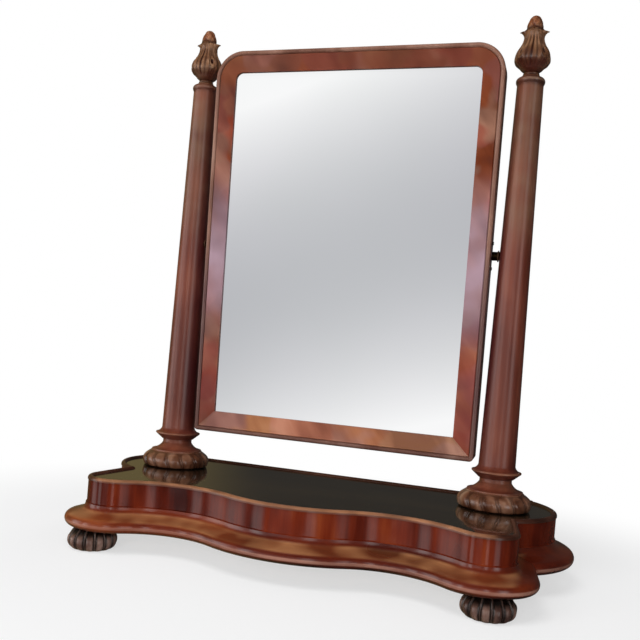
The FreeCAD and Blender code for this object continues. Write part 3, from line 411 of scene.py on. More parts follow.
def bands_of_wear_and_light(material, bands, patch_width=35, least=0.45, ahead=None, aside=None):
    """Adds level bands of another tone, for wear or for painted light and shade: (tone, lowest, highest,
    share), with heights in mm.

    patch_width is the width in mm of the places where a band is strong or weak, and least its strength where
    it is weak. The bands fade out behind the depth ahead and beyond the distance aside, both in mm."""
    tree, base, wood = colour_so_far(material)
    place = add(tree, "ShaderNodeTexCoord").outputs["Object"]
    along = add(tree, "ShaderNodeSeparateXYZ", {"Vector": place}).outputs
    patchy = add(tree, "ShaderNodeTexNoise",
                 {"Vector": place, "Scale": 1 / (patch_width * MM), "Detail": 1.0}).outputs[0]
    amount = add(tree, "ShaderNodeMapRange", {"Value": patchy, "From Min": WEAK_PLACE,
                                              "From Max": STRONG_PLACE, "To Min": least}).outputs[0]
    outward = add(tree, "ShaderNodeMath", {0: along["X"]}, operation="ABSOLUTE").outputs[0]
    for limit, reach in ((ahead, along["Y"]), (aside, outward)):
        if limit is not None:
            kept = add(tree, "ShaderNodeMapRange", {"Value": reach, "From Min": (limit + EDGE_FADE) * MM,
                                                    "From Max": limit * MM},
                       interpolation_type="SMOOTHSTEP").outputs["Result"]
            amount = add(tree, "ShaderNodeMath", {0: amount, 1: kept}, operation="MULTIPLY").outputs[0]
    for tone, low, high, share in bands:
        half = (high - low) / 2 * MM
        band = nearness(tree, along["Z"], (low + high) / 2 * MM, BAND_FULL * half, BAND_GONE * half, share)
        band_share = add(tree, "ShaderNodeMath", {0: band, 1: amount}, operation="MULTIPLY").outputs[0]
        wood = add(tree, "ShaderNodeMix", {"Factor": band_share, "A": wood, "B": colour(tone)},
                   data_type="RGBA").outputs["Result"]
    tree.links.new(wood, base)
    return material


print("bands fade out over", EDGE_FADE, "mm")

# %% Wood finishes
QUARTER = math.pi / 2
DARK_BEAD = ("#2b150e", "#3a1e15", "#48291d", "#563426")
finishes = {
    # turned from the solid: straight grain up the shaft, a satin polish with a painted olive-grey sheen
    # towards the top, pale painted highlights on the ring, the fillet and the neck, and painted shade on the
    # sides that face the glass, which are out of the light
    "turned": bands_of_wear_and_light(
        bands_of_wear_and_light(polished_wood("turned mahogany", ("#3f170f", "#542317", "#673122", "#78412f"), (6, 220), 70,
                             rough=0.38, coat=0.35, gloss=0.27),
               # painted sheen high on the shaft; painted highlights on the ring, the fillet and the neck; the
               # collar's dark and pale lines
               (("#755843", 540, 800, 0.55), ("#9a6a4e", 162.0, 165.4, 0.5),
                ("#8f5f48", 132.4, 135.0, 0.6), ("#94593f", 137.0, 152.0, 0.5),
                ("#33160f", 768.0, 786.0, 0.85), ("#93735c", 775.5, 779.0, 0.4))),
        # painted shade on the sides of the columns that face the glass
        (("#381318", 168.0, 772.0, 0.8),), patch_width=120, least=0.8, aside=256),
    # shaped with planes and scrapers: red, with painted light, a dull orange, on the ledge that faces up,
    # painted shade on the nose, a pale painted reflection of the floor under the nose, and painted shade
    # along the lower edge
    "moulding": bands_of_wear_and_light(
        bands_of_wear_and_light(polished_wood("moulded mahogany", ("#3a0e06", "#521809", "#6a260e", "#803b1a"), (5, 120), 90,
                             turn=QUARTER, share=0.15, rough=0.3, shine=0.3, coat=0.55, gloss=0.15),
               # painted light on the ledge, painted shade on the nose
               (("#a5714a", 49.5, 59.0, 0.8), ("#45140a", 43.5, 48.5, 0.6)),
               patch_width=48, least=0.15, aside=325),
        # painted reflection of the floor under the nose, painted shade along the lower edge
        (("#a87a68", 38.4, 43.0, 0.7), ("#1c0a06", 26.0, 37.4, 0.95)), patch_width=60),
    # thin veneer bent round the curves with its grain upright: broad bands run from foot to rim
    "frieze": polished_wood("frieze veneer", ("#2f0904", "#491307", "#63200c", "#7c3517"), (26, 300), 60,
                            share=0.5, rough=0.28, shine=0.08, coat=0.3, gloss=0.09),
    # the beads keep their dark stain; along the front the top of the bead gets a pale painted highlight and
    # the band below it painted shade
    "bead": bands_of_wear_and_light(polished_wood("mahogany bead", DARK_BEAD, (4, 90), 60, turn=QUARTER, share=0.2),
                   # painted highlight on the top of the front bead, painted shade below it
                   (("#a3704f", 104.8, 112.0, 0.9), ("#6d3723", 101.0, 104.8, 0.6)),
                   ahead=-102, aside=292),
    "dark_bead": polished_wood("stained mahogany bead", DARK_BEAD, (4, 90), 60, turn=QUARTER, share=0.2),
    # stained almost black and polished like glass
    "top": polished_wood("dark polished top", ("#16120c", "#1e1810", "#261f15", "#2d2518"), (7, 240), 70,
                         turn=QUARTER, rough=0.1, shine=0.5, coat=0.8, gloss=0.03, relief=0.01),
    # oil and wax on carving: pale high spots, painted shade in the hollows, and a gloss on every leaf
    "carved": polished_wood("carved mahogany", ("#48281a", "#623c29", "#7b533e", "#95705a"), (6, 50), 22,
                            share=0.1, rough=0.3, shine=0.5, coat=0.5, gloss=0.14, hollow_shade="#2c1209"),
    # out of reach of the duster: drier, olive on the high spots, painted shade in the cuts and hollows, dark
    # red in the bowl, orange on the bud
    "finial": bands_of_wear_and_light(polished_wood("carved finial mahogany", ("#50301f", "#6a462f", "#815c42", "#957256"),
                                   (6, 50), 22, share=0.1, rough=0.36, coat=0.35, gloss=0.2, hollow_shade="#260c07"),
                     (("#8c4a2a", 862, 892, 0.5), ("#4a1a12", 790, 807, 0.65))),
    # the feet have a century of floor wax on them, with painted shade in their grooves and scooped heads
    "foot": polished_wood("waxed dark mahogany", ("#3d2822", "#573d34", "#70554a", "#866b60"), (6, 50), 26,
                          share=0.1, rough=0.34, coat=0.3, gloss=0.2, hollow_shade="#0c0604"),
}
print("wood finishes:", sorted(finishes))

# %% [markdown]
# ## Frame veneer
# The frame is covered with short lengths of figured veneer. Each is a little redder,
# browner or darker than the next, and they run softly into one another under the
# polish, round the upper corners too. A smooth Voronoi texture gives patches of uneven
# size, each with a colour of its own. It reads the same coordinates on every member, so
# that no patch stops at a joint, which leaves the two lower mitres as the only lines.

# %% Figured veneer
# the borders of the patches are bent by a noise 45 mm wide: its size in metres, of which about 15 mm show
WANDER, WANDER_WIDTH = 0.06, 45
# the grain runs aslant, so that it crosses upright and level members alike
GRAIN_TURN = 0.6
# lowest and highest depth of tone, hue and strength of a patch
PATCH_DEPTH, PATCH_HUE, PATCH_STRENGTH = (0.76, 1.1), (0.49, 0.514), (0.8, 1.08)
# values of a patch's own chance at which its depth is lowest and highest
CHANCE_LOW, CHANCE_HIGH = 0.15, 0.85
# along the top it has kept more of its stain: how far down that begins and is full, in mm, and how dark
STAIN_START, STAIN_FULL, STAIN_DEPTH = 70, 25, 0.82
FRAME_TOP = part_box("top_rail")[1].z


def figured_veneer(name, tones, patch):
    """Veneer in soft patches of a width in mm."""
    material = polished_wood(name, tones, (9, 70), 50, turn=GRAIN_TURN, share=0.12, rough=0.34,
                             shine=0.15, coat=0.15, gloss=0.2)
    tree, base, wood = colour_so_far(material)
    place = add(tree, "ShaderNodeTexCoord").outputs["Object"]
    height = add(tree, "ShaderNodeSeparateXYZ", {"Vector": place}).outputs["Z"]
    bend = add(tree, "ShaderNodeTexNoise",
               {"Vector": place, "Scale": 1 / (WANDER_WIDTH * MM), "Detail": 1.0}).outputs["Color"]
    bent = add(tree, "ShaderNodeVectorMath", {0: bend, 1: (WANDER, WANDER, WANDER), 2: place},
               operation="MULTIPLY_ADD").outputs[0]
    cell = add(tree, "ShaderNodeTexVoronoi",
               {"Vector": bent, "Scale": 1 / (patch * MM), "Smoothness": 0.3},
               feature="SMOOTH_F1").outputs["Color"]
    chance = add(tree, "ShaderNodeSeparateColor", {"Color": cell}).outputs
    value = add(tree, "ShaderNodeMapRange",
                {"Value": chance[0], "From Min": CHANCE_LOW, "From Max": CHANCE_HIGH,
                 "To Min": PATCH_DEPTH[0], "To Max": PATCH_DEPTH[1]}).outputs[0]
    stained = add(tree, "ShaderNodeMapRange",
                  {"Value": height, "From Min": FRAME_TOP - STAIN_START * MM,
                   "From Max": FRAME_TOP - STAIN_FULL * MM, "To Min": 1.0, "To Max": STAIN_DEPTH},
                  interpolation_type="SMOOTHSTEP").outputs["Result"]
    depth = add(tree, "ShaderNodeMath", {0: value, 1: stained}, operation="MULTIPLY").outputs[0]
    hue, strength = (add(tree, "ShaderNodeMapRange",
                         {"Value": chance[i], "To Min": low, "To Max": high}).outputs[0]
                     for i, (low, high) in enumerate((PATCH_HUE, PATCH_STRENGTH), 1))
    veneer = add(tree, "ShaderNodeHueSaturation",
                 {"Color": wood, "Hue": hue, "Saturation": strength, "Value": depth}).outputs[0]
    tree.links.new(veneer, base)
    return material


print("top of the frame at", round(FRAME_TOP, 4))

# %% [markdown]
# Half way up the stiles a grey and mauve sheen is painted into the colour of the veneer,
# the feet of the stiles are redder, and the lower rail, which faces up into the light, gets
# a lighter orange-brown veneer as painted light. At the two lower mitres a dark glue line
# shows. On a mitre the way in from the side equals the way up from the foot, so the line
# can be drawn in the finish of both members.

# %% Painted sheen and glue lines
FRAME_MIDDLE = (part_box("stile_left")[0].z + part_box("stile_left")[1].z) / 2
FRAME_LOW, FRAME_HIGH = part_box("bottom_rail")
# strength of the painted sheen in its weak and strong places
PAINTED_SHEEN_WEAK, PAINTED_SHEEN_STRONG = 0.5, 0.9
# the glue line is drawn about 1 mm wide, so that it shows in the render
LINE_NEAR, LINE_FAR, LINE_SHARE = 0.3 * MM, 1.1 * MM, 0.35


def add_painted_sheen(material, tone, reach):
    """Adds a painted grey-mauve sheen, reaching the given mm up and down from the middle of the frame."""
    tree, base, veneer = colour_so_far(material)
    place = add(tree, "ShaderNodeTexCoord").outputs["Object"]
    height = add(tree, "ShaderNodeSeparateXYZ", {"Vector": place}).outputs["Z"]
    sheen_height = nearness(tree, height, FRAME_MIDDLE, 0.0, reach * MM)
    bend = add(tree, "ShaderNodeTexNoise",
               {"Vector": place, "Scale": 1 / (WANDER_WIDTH * MM), "Detail": 1.0}).outputs[0]
    patchy = add(tree, "ShaderNodeMapRange",
                 {"Value": bend, "From Min": NOISE_LOW, "From Max": STRONG_PLACE,
                  "To Min": PAINTED_SHEEN_WEAK, "To Max": PAINTED_SHEEN_STRONG}).outputs[0]
    grey = add(tree, "ShaderNodeMath", {0: sheen_height, 1: patchy}, operation="MULTIPLY").outputs[0]
    # the painted sheen is mixed into the colour of the veneer
    sheened = add(tree, "ShaderNodeMix", {"Factor": grey, "A": veneer, "B": colour(tone)},
               data_type="RGBA").outputs["Result"]
    tree.links.new(sheened, base)
    return material


def mitred(material):
    """Adds the glue lines of the two lower mitres."""
    tree, base, veneer = colour_so_far(material)
    place = add(tree, "ShaderNodeTexCoord").outputs["Object"]
    along = add(tree, "ShaderNodeSeparateXYZ", {"Vector": place}).outputs
    outward = add(tree, "ShaderNodeMath", {0: along["X"]}, operation="ABSOLUTE").outputs[0]
    slant = add(tree, "ShaderNodeMath", {0: outward, 1: along["Z"]}, operation="ADD").outputs[0]
    line = nearness(tree, slant, FRAME_HIGH.x + FRAME_LOW.z, LINE_NEAR, LINE_FAR, LINE_SHARE, "LINEAR")
    lined = add(tree, "ShaderNodeMix", {"Factor": line, "A": veneer, "B": colour("#2a100a")},
                data_type="RGBA").outputs["Result"]
    tree.links.new(lined, base)
    return material


print("middle of the frame at", round(FRAME_MIDDLE, 4))

# %% Frame finishes
top_height = FRAME_TOP / MM
# knife-cut curls and flames of mahogany, polished to a satin: redder at the foot, dark red along the top, and
# a painted grey-mauve sheen half way up the stiles
figured = figured_veneer("figured mahogany veneer", ("#522217", "#6a321f", "#81432d", "#95583f"), 62)
finishes["veneer"] = bands_of_wear_and_light(mitred(add_painted_sheen(figured, "#a58a95", 165)),
                            (("#8c3f3a", 190, 330, 0.5),
                             ("#69301f", top_height - 70, top_height + 40, 0.55)),
                            patch_width=70, least=0.2)
# the same in lighter tones: painted light on the lower rail, which faces up into the light
lit_rail_veneer = figured_veneer("lighter mahogany veneer with painted light", ("#7c4630", "#91573e", "#a4684c", "#b47a5e"), 85)
finishes["lower_veneer"] = mitred(lit_rail_veneer)
# a strip of straight-grained wood, rounded and pale, and darker from 170 to 470 mm up
strip = polished_wood("rounded frame edge", ("#5a372b", "#6e493a", "#815b4b", "#926f5f"), (5, 90), 60,
                      share=0.2)
finishes["edge"] = bands_of_wear_and_light(strip, (("#42262a", 170, 470, 0.75),), patch_width=90, least=0.75)
print("frame finishes:", [finishes[name].name for name in ("veneer", "lower_veneer", "edge")])

# %% [markdown]
# ## Plain finishes
# The back and the inside are bare pine, with pale and dark growth rings. The pivots
# are cast brass gone brown in its hollows, the screws are dull steel with a little
# rust, the friction washers are leather, and the plate is silvered glass. Each gets
# its own pattern, because a single colour looks like plastic.

# %% Pine, metals, leather and glass
NOISE, CELLS = "ShaderNodeTexNoise", "ShaderNodeTexVoronoi"
# values of a pattern at which the darker tone ends and the lighter one begins
DARK_END, LIGHT_START = 0.38, 0.62
RELIEF_DEPTH = 0.3 * MM


def plain_finish(name, tones, kind, size, stretch=(1, 1, 1), metallic=0.0, rough=(0.4, 0.6), relief=0.1):
    """A finish whose colour, sheen and relief follow one pattern of the given size in mm."""
    material = bpy.data.materials.new(name)
    material.use_nodes = True
    tree = material.node_tree
    shader = tree.nodes["Principled BSDF"]
    place = add(tree, "ShaderNodeTexCoord").outputs["Object"]
    scale = [s / (size * MM) for s in stretch]
    spread = add(tree, "ShaderNodeMapping", {"Vector": place, "Scale": scale}).outputs[0]
    pattern = add(tree, kind, {"Vector": spread, "Scale": 1.0}).outputs[0]
    ramp = add(tree, "ShaderNodeValToRGB", {"Fac": pattern}, label="tones")
    for stop, position, tone in zip(ramp.color_ramp.elements, (DARK_END, LIGHT_START), tones):
        stop.position = position
        stop.color = colour(tone)
    tree.links.new(ramp.outputs["Color"], shader.inputs["Base Color"])
    sheen = add(tree, "ShaderNodeMapRange",
                {"Value": pattern, "From Min": NOISE_LOW, "From Max": NOISE_HIGH,
                 "To Min": rough[0], "To Max": rough[1]})
    tree.links.new(sheen.outputs[0], shader.inputs["Roughness"])
    bump = add(tree, "ShaderNodeBump", {"Height": pattern, "Strength": relief, "Distance": RELIEF_DEPTH})
    tree.links.new(bump.outputs[0], shader.inputs["Normal"])
    shader.inputs["Metallic"].default_value = metallic
    return material


finishes.update({
    # sawn and planed softwood: rings about 6 mm apart drawn out along the board, no gloss
    "pine": plain_finish("bare pine", ("#8f6e46", "#a88658"), NOISE, 6, (0.04, 1, 1),
                         rough=(0.55, 0.75), relief=0.3),
    # cast, filed and lacquered long ago: yellow where it rubs, brown elsewhere
    "brass": plain_finish("old brass", ("#1f170d", "#46361d"), NOISE, 5, metallic=1.0, rough=(0.28, 0.45)),
    # dull, with specks of rust about 2 mm across
    "steel": plain_finish("old steel screw", ("#4a3a30", "#8c8880"), NOISE, 2,
                          metallic=1.0, rough=(0.35, 0.6)),
    # oak-tanned hide with a grain of about 1.2 mm
    "leather": plain_finish("oiled leather", ("#24140c", "#4d301d"), CELLS, 1.2,
                            rough=(0.5, 0.7), relief=0.4),
    # silvered plate: a clear mirror with the faintest cloud in its silver
    "mirror": plain_finish("silvered glass", ("#f6f7f7", "#f9f9fa"), NOISE, 300,
                           metallic=1.0, rough=(0.0, 0.002), relief=0.0),
})
print("finishes in all:", len(finishes))

# %% [markdown]
# ## Smooth copies of the CAD pieces
# A CAD node arrives as loose flat triangles, which shows as facets in a polished
# curve. The node itself is never changed, so each show piece gets a copy with its
# points merged, shaded smooth across gentle bends and left sharp at true edges. The
# copy then replaces the node. Hidden flat boards stay as they are and only get a finish.

# %% Helpers for pieces
# distances within which points are merged and edges count as nothing
WELD, SLIVER = 0.002 * MM, 0.001 * MM


def fresh_object(name, mesh, finish):
    """A new object at the origin with one finish."""
    mesh.materials.clear()
    mesh.materials.append(finishes[finish])
    piece = bpy.data.objects.new(name, mesh)
    scene.collection.objects.link(piece)
    return piece


def stand_in(name, mesh, node, finish):
    """A new object that replaces a CAD node and rides on its body."""
    piece = fresh_object(name, mesh, finish)
    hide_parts(node)
    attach(piece, nodes[node]["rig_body"])
    return piece


def smooth(mesh, angle=30):
    """Merges doubles, turns faces outwards and shades bends below the angle as smooth."""
    build = bmesh.new()
    build.from_mesh(mesh)
    bmesh.ops.remove_doubles(build, verts=build.verts, dist=WELD)
    bmesh.ops.dissolve_degenerate(build, edges=build.edges, dist=SLIVER)
    bmesh.ops.recalc_face_normals(build, faces=build.faces)
    build.to_mesh(mesh)
    build.free()
    mesh.shade_smooth()
    mesh.set_sharp_from_angle(angle=math.radians(angle))
    return mesh


def polished(node, finish, slot):
    """A smooth copy of a CAD node, in its place."""
    source = nodes[node].data
    mesh = bpy.data.meshes.new("polished_" + node)
    mesh.from_pydata([v.co for v in source.vertices], [], [tuple(p.vertices) for p in source.polygons])
    return stand_in("polished_" + node, smooth(mesh), node, finish)


print("points merge within", WELD / MM, "mm")

# %% Polished pieces
SHOW_PIECES = {
    ("moulding", "mahogany_moulding"): ("plinth_front", "plinth_left", "plinth_right"),
    ("frieze", "frieze_veneer"): ("frieze_front", "frieze_left", "frieze_right"),
    ("bead", "mahogany_bead"): ("rim_front",),
    ("dark_bead", "mahogany_bead"): ("rim_left", "rim_right", "rim_back"),
    ("turned", "turned_mahogany"): ("column_left", "column_right"),
    ("top", "dark_top"): ("top_board",),
    ("veneer", "frame_veneer"): ("stile_left", "stile_right", "top_rail",
                                 "corner_block_left", "corner_block_right"),
    ("lower_veneer", "frame_veneer"): ("bottom_rail",),
    ("edge", "mahogany_bead"): ("edge_bead_left", "edge_bead_right", "edge_bead_top", "edge_bead_bottom",
                                "edge_bead_corner_left", "edge_bead_corner_right"),
    ("brass", "brass"): ("pivot_plate_left", "pivot_plate_right", "pivot_bush_left", "pivot_bush_right"),
    ("leather", "leather"): ("friction_washer_left", "friction_washer_right"),
}
polished_pieces = [polished(node, *look) for look, group in SHOW_PIECES.items() for node in group]
print("polished pieces:", len(polished_pieces))

# %% [markdown]
# ## Carving that repeats round an axis
# Feet, skirts and finials are turned on a lathe first and carved afterwards, with the
# same motif cut again and again round the axis. So each is made the way the carver
# works: one motif as a thin wedge, then a ring of copies. Geometry Nodes make the
# ring, because the number of copies stays an input that can be changed, and the
# seams between the copies are welded at the end. A point attribute, hollow, marks the
# hollows of the cut, so that the finish can paint shade into the grooves, eyes and
# recesses.

# %% Ring of motifs
SEAM = 0.004 * MM


def ring_of_motifs():
    """A node tree that repeats a wedge round the Z axis and welds the copies together."""
    tree = bpy.data.node_groups.new("ring of carved motifs", "GeometryNodeTree")
    tree.interface.new_socket("Motif", in_out="INPUT", socket_type="NodeSocketGeometry")
    copies = tree.interface.new_socket("Copies", in_out="INPUT", socket_type="NodeSocketInt")
    finish = tree.interface.new_socket("Finish", in_out="INPUT", socket_type="NodeSocketMaterial")
    tree.interface.new_socket("Ring", in_out="OUTPUT", socket_type="NodeSocketGeometry")
    given = add(tree, "NodeGroupInput").outputs
    step = add(tree, "ShaderNodeMath", {0: 2 * math.pi, 1: given["Copies"]}, operation="DIVIDE").outputs[0]
    number = add(tree, "GeometryNodeInputIndex").outputs[0]
    angle = add(tree, "ShaderNodeMath", {0: step, 1: number}, operation="MULTIPLY").outputs[0]
    turn = add(tree, "ShaderNodeCombineXYZ", {"Z": angle}).outputs[0]
    axis = add(tree, "GeometryNodePoints", {"Count": given["Copies"]}).outputs[0]
    placed = add(tree, "GeometryNodeInstanceOnPoints",
                 {"Points": axis, "Instance": given["Motif"], "Rotation": turn}).outputs[0]
    real = add(tree, "GeometryNodeRealizeInstances", {"Geometry": placed}).outputs[0]
    welded = add(tree, "GeometryNodeMergeByDistance", {"Geometry": real, "Distance": SEAM}).outputs[0]
    dressed = add(tree, "GeometryNodeSetMaterial",
                  {"Geometry": welded, "Material": given["Finish"]}).outputs[0]
    add(tree, "NodeGroupOutput", {"Ring": dressed})
    return tree, copies.identifier, finish.identifier


def made_real(name, mesh, tree, inputs, finish):
    """What a node tree makes of a mesh, as a plain mesh."""
    holder = fresh_object(name, mesh, finish)
    maker = holder.modifiers.new("maker", "NODES")
    maker.node_group = tree
    for identifier, value in inputs.items():
        maker[identifier] = value
    made = bpy.data.meshes.new_from_object(holder.evaluated_get(bpy.context.evaluated_depsgraph_get()))
    holder.modifiers.remove(maker)
    bpy.data.objects.remove(holder)
    return made


RING, COPIES, FINISH = ring_of_motifs()
print("ring nodes:", len(RING.nodes))

# %% From a motif to a carved piece
# bends below this, in degrees, are shaded smooth
CARVED_BEND = 50


def wedge(name, copies, surface, columns, rows):
    """One motif: surface gives radius, height and hollow, in mm, for shares across -1..1 and along 0..1."""
    u, s = np.meshgrid(np.linspace(-1, 1, columns + 1), np.linspace(0, 1, rows + 1))
    radius, height, hollow = surface(u, s)
    angle = u * math.pi / copies
    points = np.stack([radius * np.sin(angle), -radius * np.cos(angle), height], -1).reshape(-1, 3) * MM
    wide = columns + 1
    faces = [(r * wide + c, r * wide + c + 1, (r + 1) * wide + c + 1, (r + 1) * wide + c)
             for r in range(rows) for c in range(columns)]
    mesh = bpy.data.meshes.new(name)
    mesh.from_pydata(points.tolist(), [], faces)
    mesh.attributes.new("hollow", "FLOAT", "POINT").data.foreach_set("value", hollow.reshape(-1))
    return mesh


def carved_ring(name, copies, finish, motif):
    """The motif's wedge repeated round the axis, as one plain welded mesh at the origin."""
    mesh = made_real(name + "_motif", motif, RING, {COPIES: copies, FINISH: finishes[finish]}, finish)
    mesh.name = name
    return smooth(mesh, CARVED_BEND)


def carved_piece(node, mesh, finish):
    """A copy of a carved ring, set on the axis of the CAD node that it replaces."""
    low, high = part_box(node)
    own = mesh.copy()
    own.transform(Matrix.Translation(((low.x + high.x) / 2, (low.y + high.y) / 2, low.z)))
    return stand_in("carved_" + node, own, node, finish)


print("edges of carving are sharp above", CARVED_BEND, "degrees")

# %% Turned outlines
LEVEL_SLACK = 0.01


def turned_outline(node):
    """Radius of a turned CAD node at each height above its foot, in mm, as two rising lists."""
    low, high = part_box(node)
    places = np.array([v.co for v in nodes[node].data.vertices])
    radii = np.hypot(places[:, 0] - (low.x + high.x) / 2, places[:, 1] - (low.y + high.y) / 2) / MM
    heights = np.round((places[:, 2] - low.z) / MM, 2)
    levels = np.unique(heights)
    return levels, np.array([radii[heights == level].max() for level in levels])


def along_path(share, path):
    """Points at equal shares of the length of a path of (radius, height) corners."""
    path = np.array(path, float)
    run = np.concatenate([[0], np.cumsum(np.hypot(*np.diff(path, axis=0).T))])
    return np.interp(share * run[-1], run, path[:, 0]), np.interp(share * run[-1], run, path[:, 1])


def ease(value, start, end):
    """A smooth step from 0 at start to 1 at end."""
    t = np.clip((value - start) / (end - start), 0, 1)
    return t * t * (3 - 2 * t)


def bell(value, middle, width):
    """A smooth bump of height 1 about a middle."""
    return np.exp(-((value - middle) / width) ** 2)


for node in ("foot_front_left", "column_skirt_left", "finial_left"):
    levels, radii = turned_outline(node)
    print(node, "levels", len(levels), "height", levels[-1], "radius", round(radii.max(), 2))

# %% [markdown]
# ## Feet
# Each foot is a flattened bun with fourteen round lobes and a thin reed between each
# pair. The lobes swell at the waist of the bun and sink in under the plinth, where
# dark hollows show between the reeds: painted shade darkens these scooped heads, the
# edges of the lobes and the reeds. The crest of every lobe lies on the turned
# outline of the CAD foot, so the cuts only ever take wood away.

# %% Carved feet
FOOT_LOBES = 14
FOOT_TOP, FOOT_DOWEL = 32.0, 8
# share of a motif that is lobe, how round the lobe is, and how far the reed rises beside it
LOBE_SHARE, LOBE_ROUND, REED_RISE = 0.8, 0.98, 0.55
# depth of the cuts at top and bottom, what the waist adds, and how deep the heads are scooped, in mm
CUT_ENDS, CUT_WAIST, SCOOP = 2.2, 2.4, 4.0
SCOOP_START, SCOOP_FULL = 18, FOOT_TOP - 4
# radii at which the carving starts and is full
FOOT_SKIN = (9, 22)

foot_levels, foot_radii = turned_outline("foot_front_left")
bun = foot_levels <= FOOT_TOP + LEVEL_SLACK
foot_path = [(0, 0)] + list(zip(foot_radii[bun], foot_levels[bun])) + [
    (FOOT_DOWEL, FOOT_TOP), (FOOT_DOWEL, foot_levels[-1]), (0, foot_levels[-1])]


def foot_surface(u, s):
    """Lobes, reeds and scooped heads of a foot."""
    radius, height = along_path(s, foot_path)
    side = np.abs(u)
    lobe = np.clip(side / LOBE_SHARE, 0, 1)
    reed = np.clip((side - LOBE_SHARE) / (1 - LOBE_SHARE), 0, 1)
    cut = np.where(side < LOBE_SHARE, 1 - np.sqrt(1 - LOBE_ROUND * lobe ** 2),
                   1 - REED_RISE * np.sin(reed * math.pi / 2) ** 0.7)
    skin = ease(radius, *FOOT_SKIN)
    depth = skin * (CUT_ENDS + CUT_WAIST * np.sin(np.clip(height / FOOT_TOP, 0, 1) * math.pi))
    scoop = skin * SCOOP * ease(height, SCOOP_START, SCOOP_FULL) * (1 - lobe ** 4)
    # painted shade: darker towards the edges of the lobes, on the reeds and in the scooped heads under the
    # plinth
    dark = np.where(side < LOBE_SHARE, ease(lobe, 0.5, 1.0), 0.95 - 0.4 * reed)
    return radius - cut * depth - scoop, height, skin * np.clip(dark + scoop / 3.5, 0, 1)


foot_motif = wedge("foot_motif", FOOT_LOBES, foot_surface, columns=26, rows=64)
foot_ring = carved_ring("foot_ring", FOOT_LOBES, "foot", foot_motif)
feet = [carved_piece(node, foot_ring, "foot") for node in
        ("foot_front_left", "foot_front_right", "foot_rear_left", "foot_rear_right")]
print("feet:", len(feet), "faces each:", len(foot_ring.polygons))

# %% [markdown]
# ## Column skirts
# A skirt of leaves hides the joint of each column with the top. Fourteen broad leaves
# lean a little to one side, as a carver's gouge leaves them, with a narrow leaf between
# each pair. Their round heads end just below the fillet of the column and stand a
# little proud of the ground between them, and their feet turn under, so that a dark
# line shows above the polished top. Painted shade darkens the grooves between the
# leaves, the ground between their heads and the turned-under feet.

# %% Carved skirts
SKIRT_LEAVES = 14
SKIRT_BORE = 23.2
# share of a motif that is broad leaf; how far the leaves lean, and the wave that bends them
BROAD_SHARE = 0.86
LEAF_LEAN, LEAN_START, LEAN_RUN = 0.35, 0.3, 2.6
# how far below the top the middle of a leaf's head lies, and how much lower its sides are, in mm
BROAD_HEAD, NARROW_HEAD = (1.5, 4.5), (5.5, 2.5)
# radii at which the carving starts and is full
SKIRT_SKIN = (SKIRT_BORE + 10, SKIRT_BORE + 17)
# depth of the ground between the heads, height of the leaves' feet and how far they turn under, in mm
GROUND, LEAF_FOOT, TUCK = 0.7, 1.8, 4.0
# depth of the cuts near the column, what the wide part adds, and the radii over which it is added
LEAF_CUT, LEAF_SWELL, SWELL_SPAN = 1.1, 1.0, (40, 54)

skirt_levels, skirt_radii = turned_outline("column_skirt_left")
SKIRT_TOP = skirt_levels[-1]
skirt_path = list(zip(skirt_radii, skirt_levels)) + [
    (SKIRT_BORE, SKIRT_TOP), (SKIRT_BORE, 0), (skirt_radii[0], 0)]


def skirt_surface(u, s):
    """Broad and narrow leaves, the ground between their heads, and their turned feet."""
    radius, height = along_path(s, skirt_path)
    outside = radius > SKIRT_BORE + 1
    lean = u + outside * LEAF_LEAN * np.sin((height / SKIRT_TOP - LEAN_START) * LEAN_RUN)
    side = np.abs((lean + 1) % 2 - 1)
    broad = np.clip(side / BROAD_SHARE, 0, 1)
    narrow = np.clip((side - BROAD_SHARE) / (1 - BROAD_SHARE), 0, 1)
    leaf = side < BROAD_SHARE
    cut = np.where(leaf, broad ** 5, 1 - 0.5 * np.sin(narrow * math.pi / 2) ** 0.8)
    head = SKIRT_TOP - np.where(leaf, BROAD_HEAD[0] + BROAD_HEAD[1] * broad ** 4,
                                NARROW_HEAD[0] + NARROW_HEAD[1] * (1 - narrow))
    below = ease(head - height, -0.3, 1.4)
    skin = outside * ease(radius, *SKIRT_SKIN)
    ground = (1 - below) * GROUND * ease(SKIRT_TOP - 0.6 - height, 0, 1.0)
    depth = below * (LEAF_CUT + LEAF_SWELL * ease(radius, *SWELL_SPAN))
    lowest = LEAF_FOOT + 0.4 * broad ** 2
    tuck = TUCK * (1 - ease(height, lowest - 1.4, lowest + 0.6))
    # painted shade: in the grooves between the leaves, on the ground between the heads and under the turned
    # feet
    hollow = np.clip(0.9 * cut ** 1.3 * below + ground * 0.8 + tuck / TUCK, 0, 1)
    return radius - skin * (cut * depth + ground + tuck), height, skin * hollow


skirt_motif = wedge("skirt_motif", SKIRT_LEAVES, skirt_surface, columns=36, rows=110)
skirt_ring = carved_ring("skirt_ring", SKIRT_LEAVES, "carved", skirt_motif)
skirts = [carved_piece(node, skirt_ring, "carved") for node in ("column_skirt_left", "column_skirt_right")]
print("skirts:", len(skirts), "faces each:", len(skirt_ring.polygons))

# %% [markdown]
# ## Finials
# Each finial is a bulb wrapped in four acanthus leaves, on a dark bowl with two fine
# turned lines at its neck. Five gouge cuts run down each leaf from its tip, and where
# two leaves meet, a raised loop runs round a deep oval eye. At the waist the leaves part
# and curl outwards to thin tips, and a bud with a slow spiral rises between them. Away
# from the tips the outline drops back to the bud, so the flare of the CAD outline is
# blended away there. Heights are taken from the top of the column; the spigot is below it.

# %% Outline of a finial
FINIAL_LEAVES = 4
SPIGOT = 18.0
# heights of the waist, of the leaf tips and of the foot of the bud
WAIST, TIP, BUD = 64.0, 72.7, 76.5

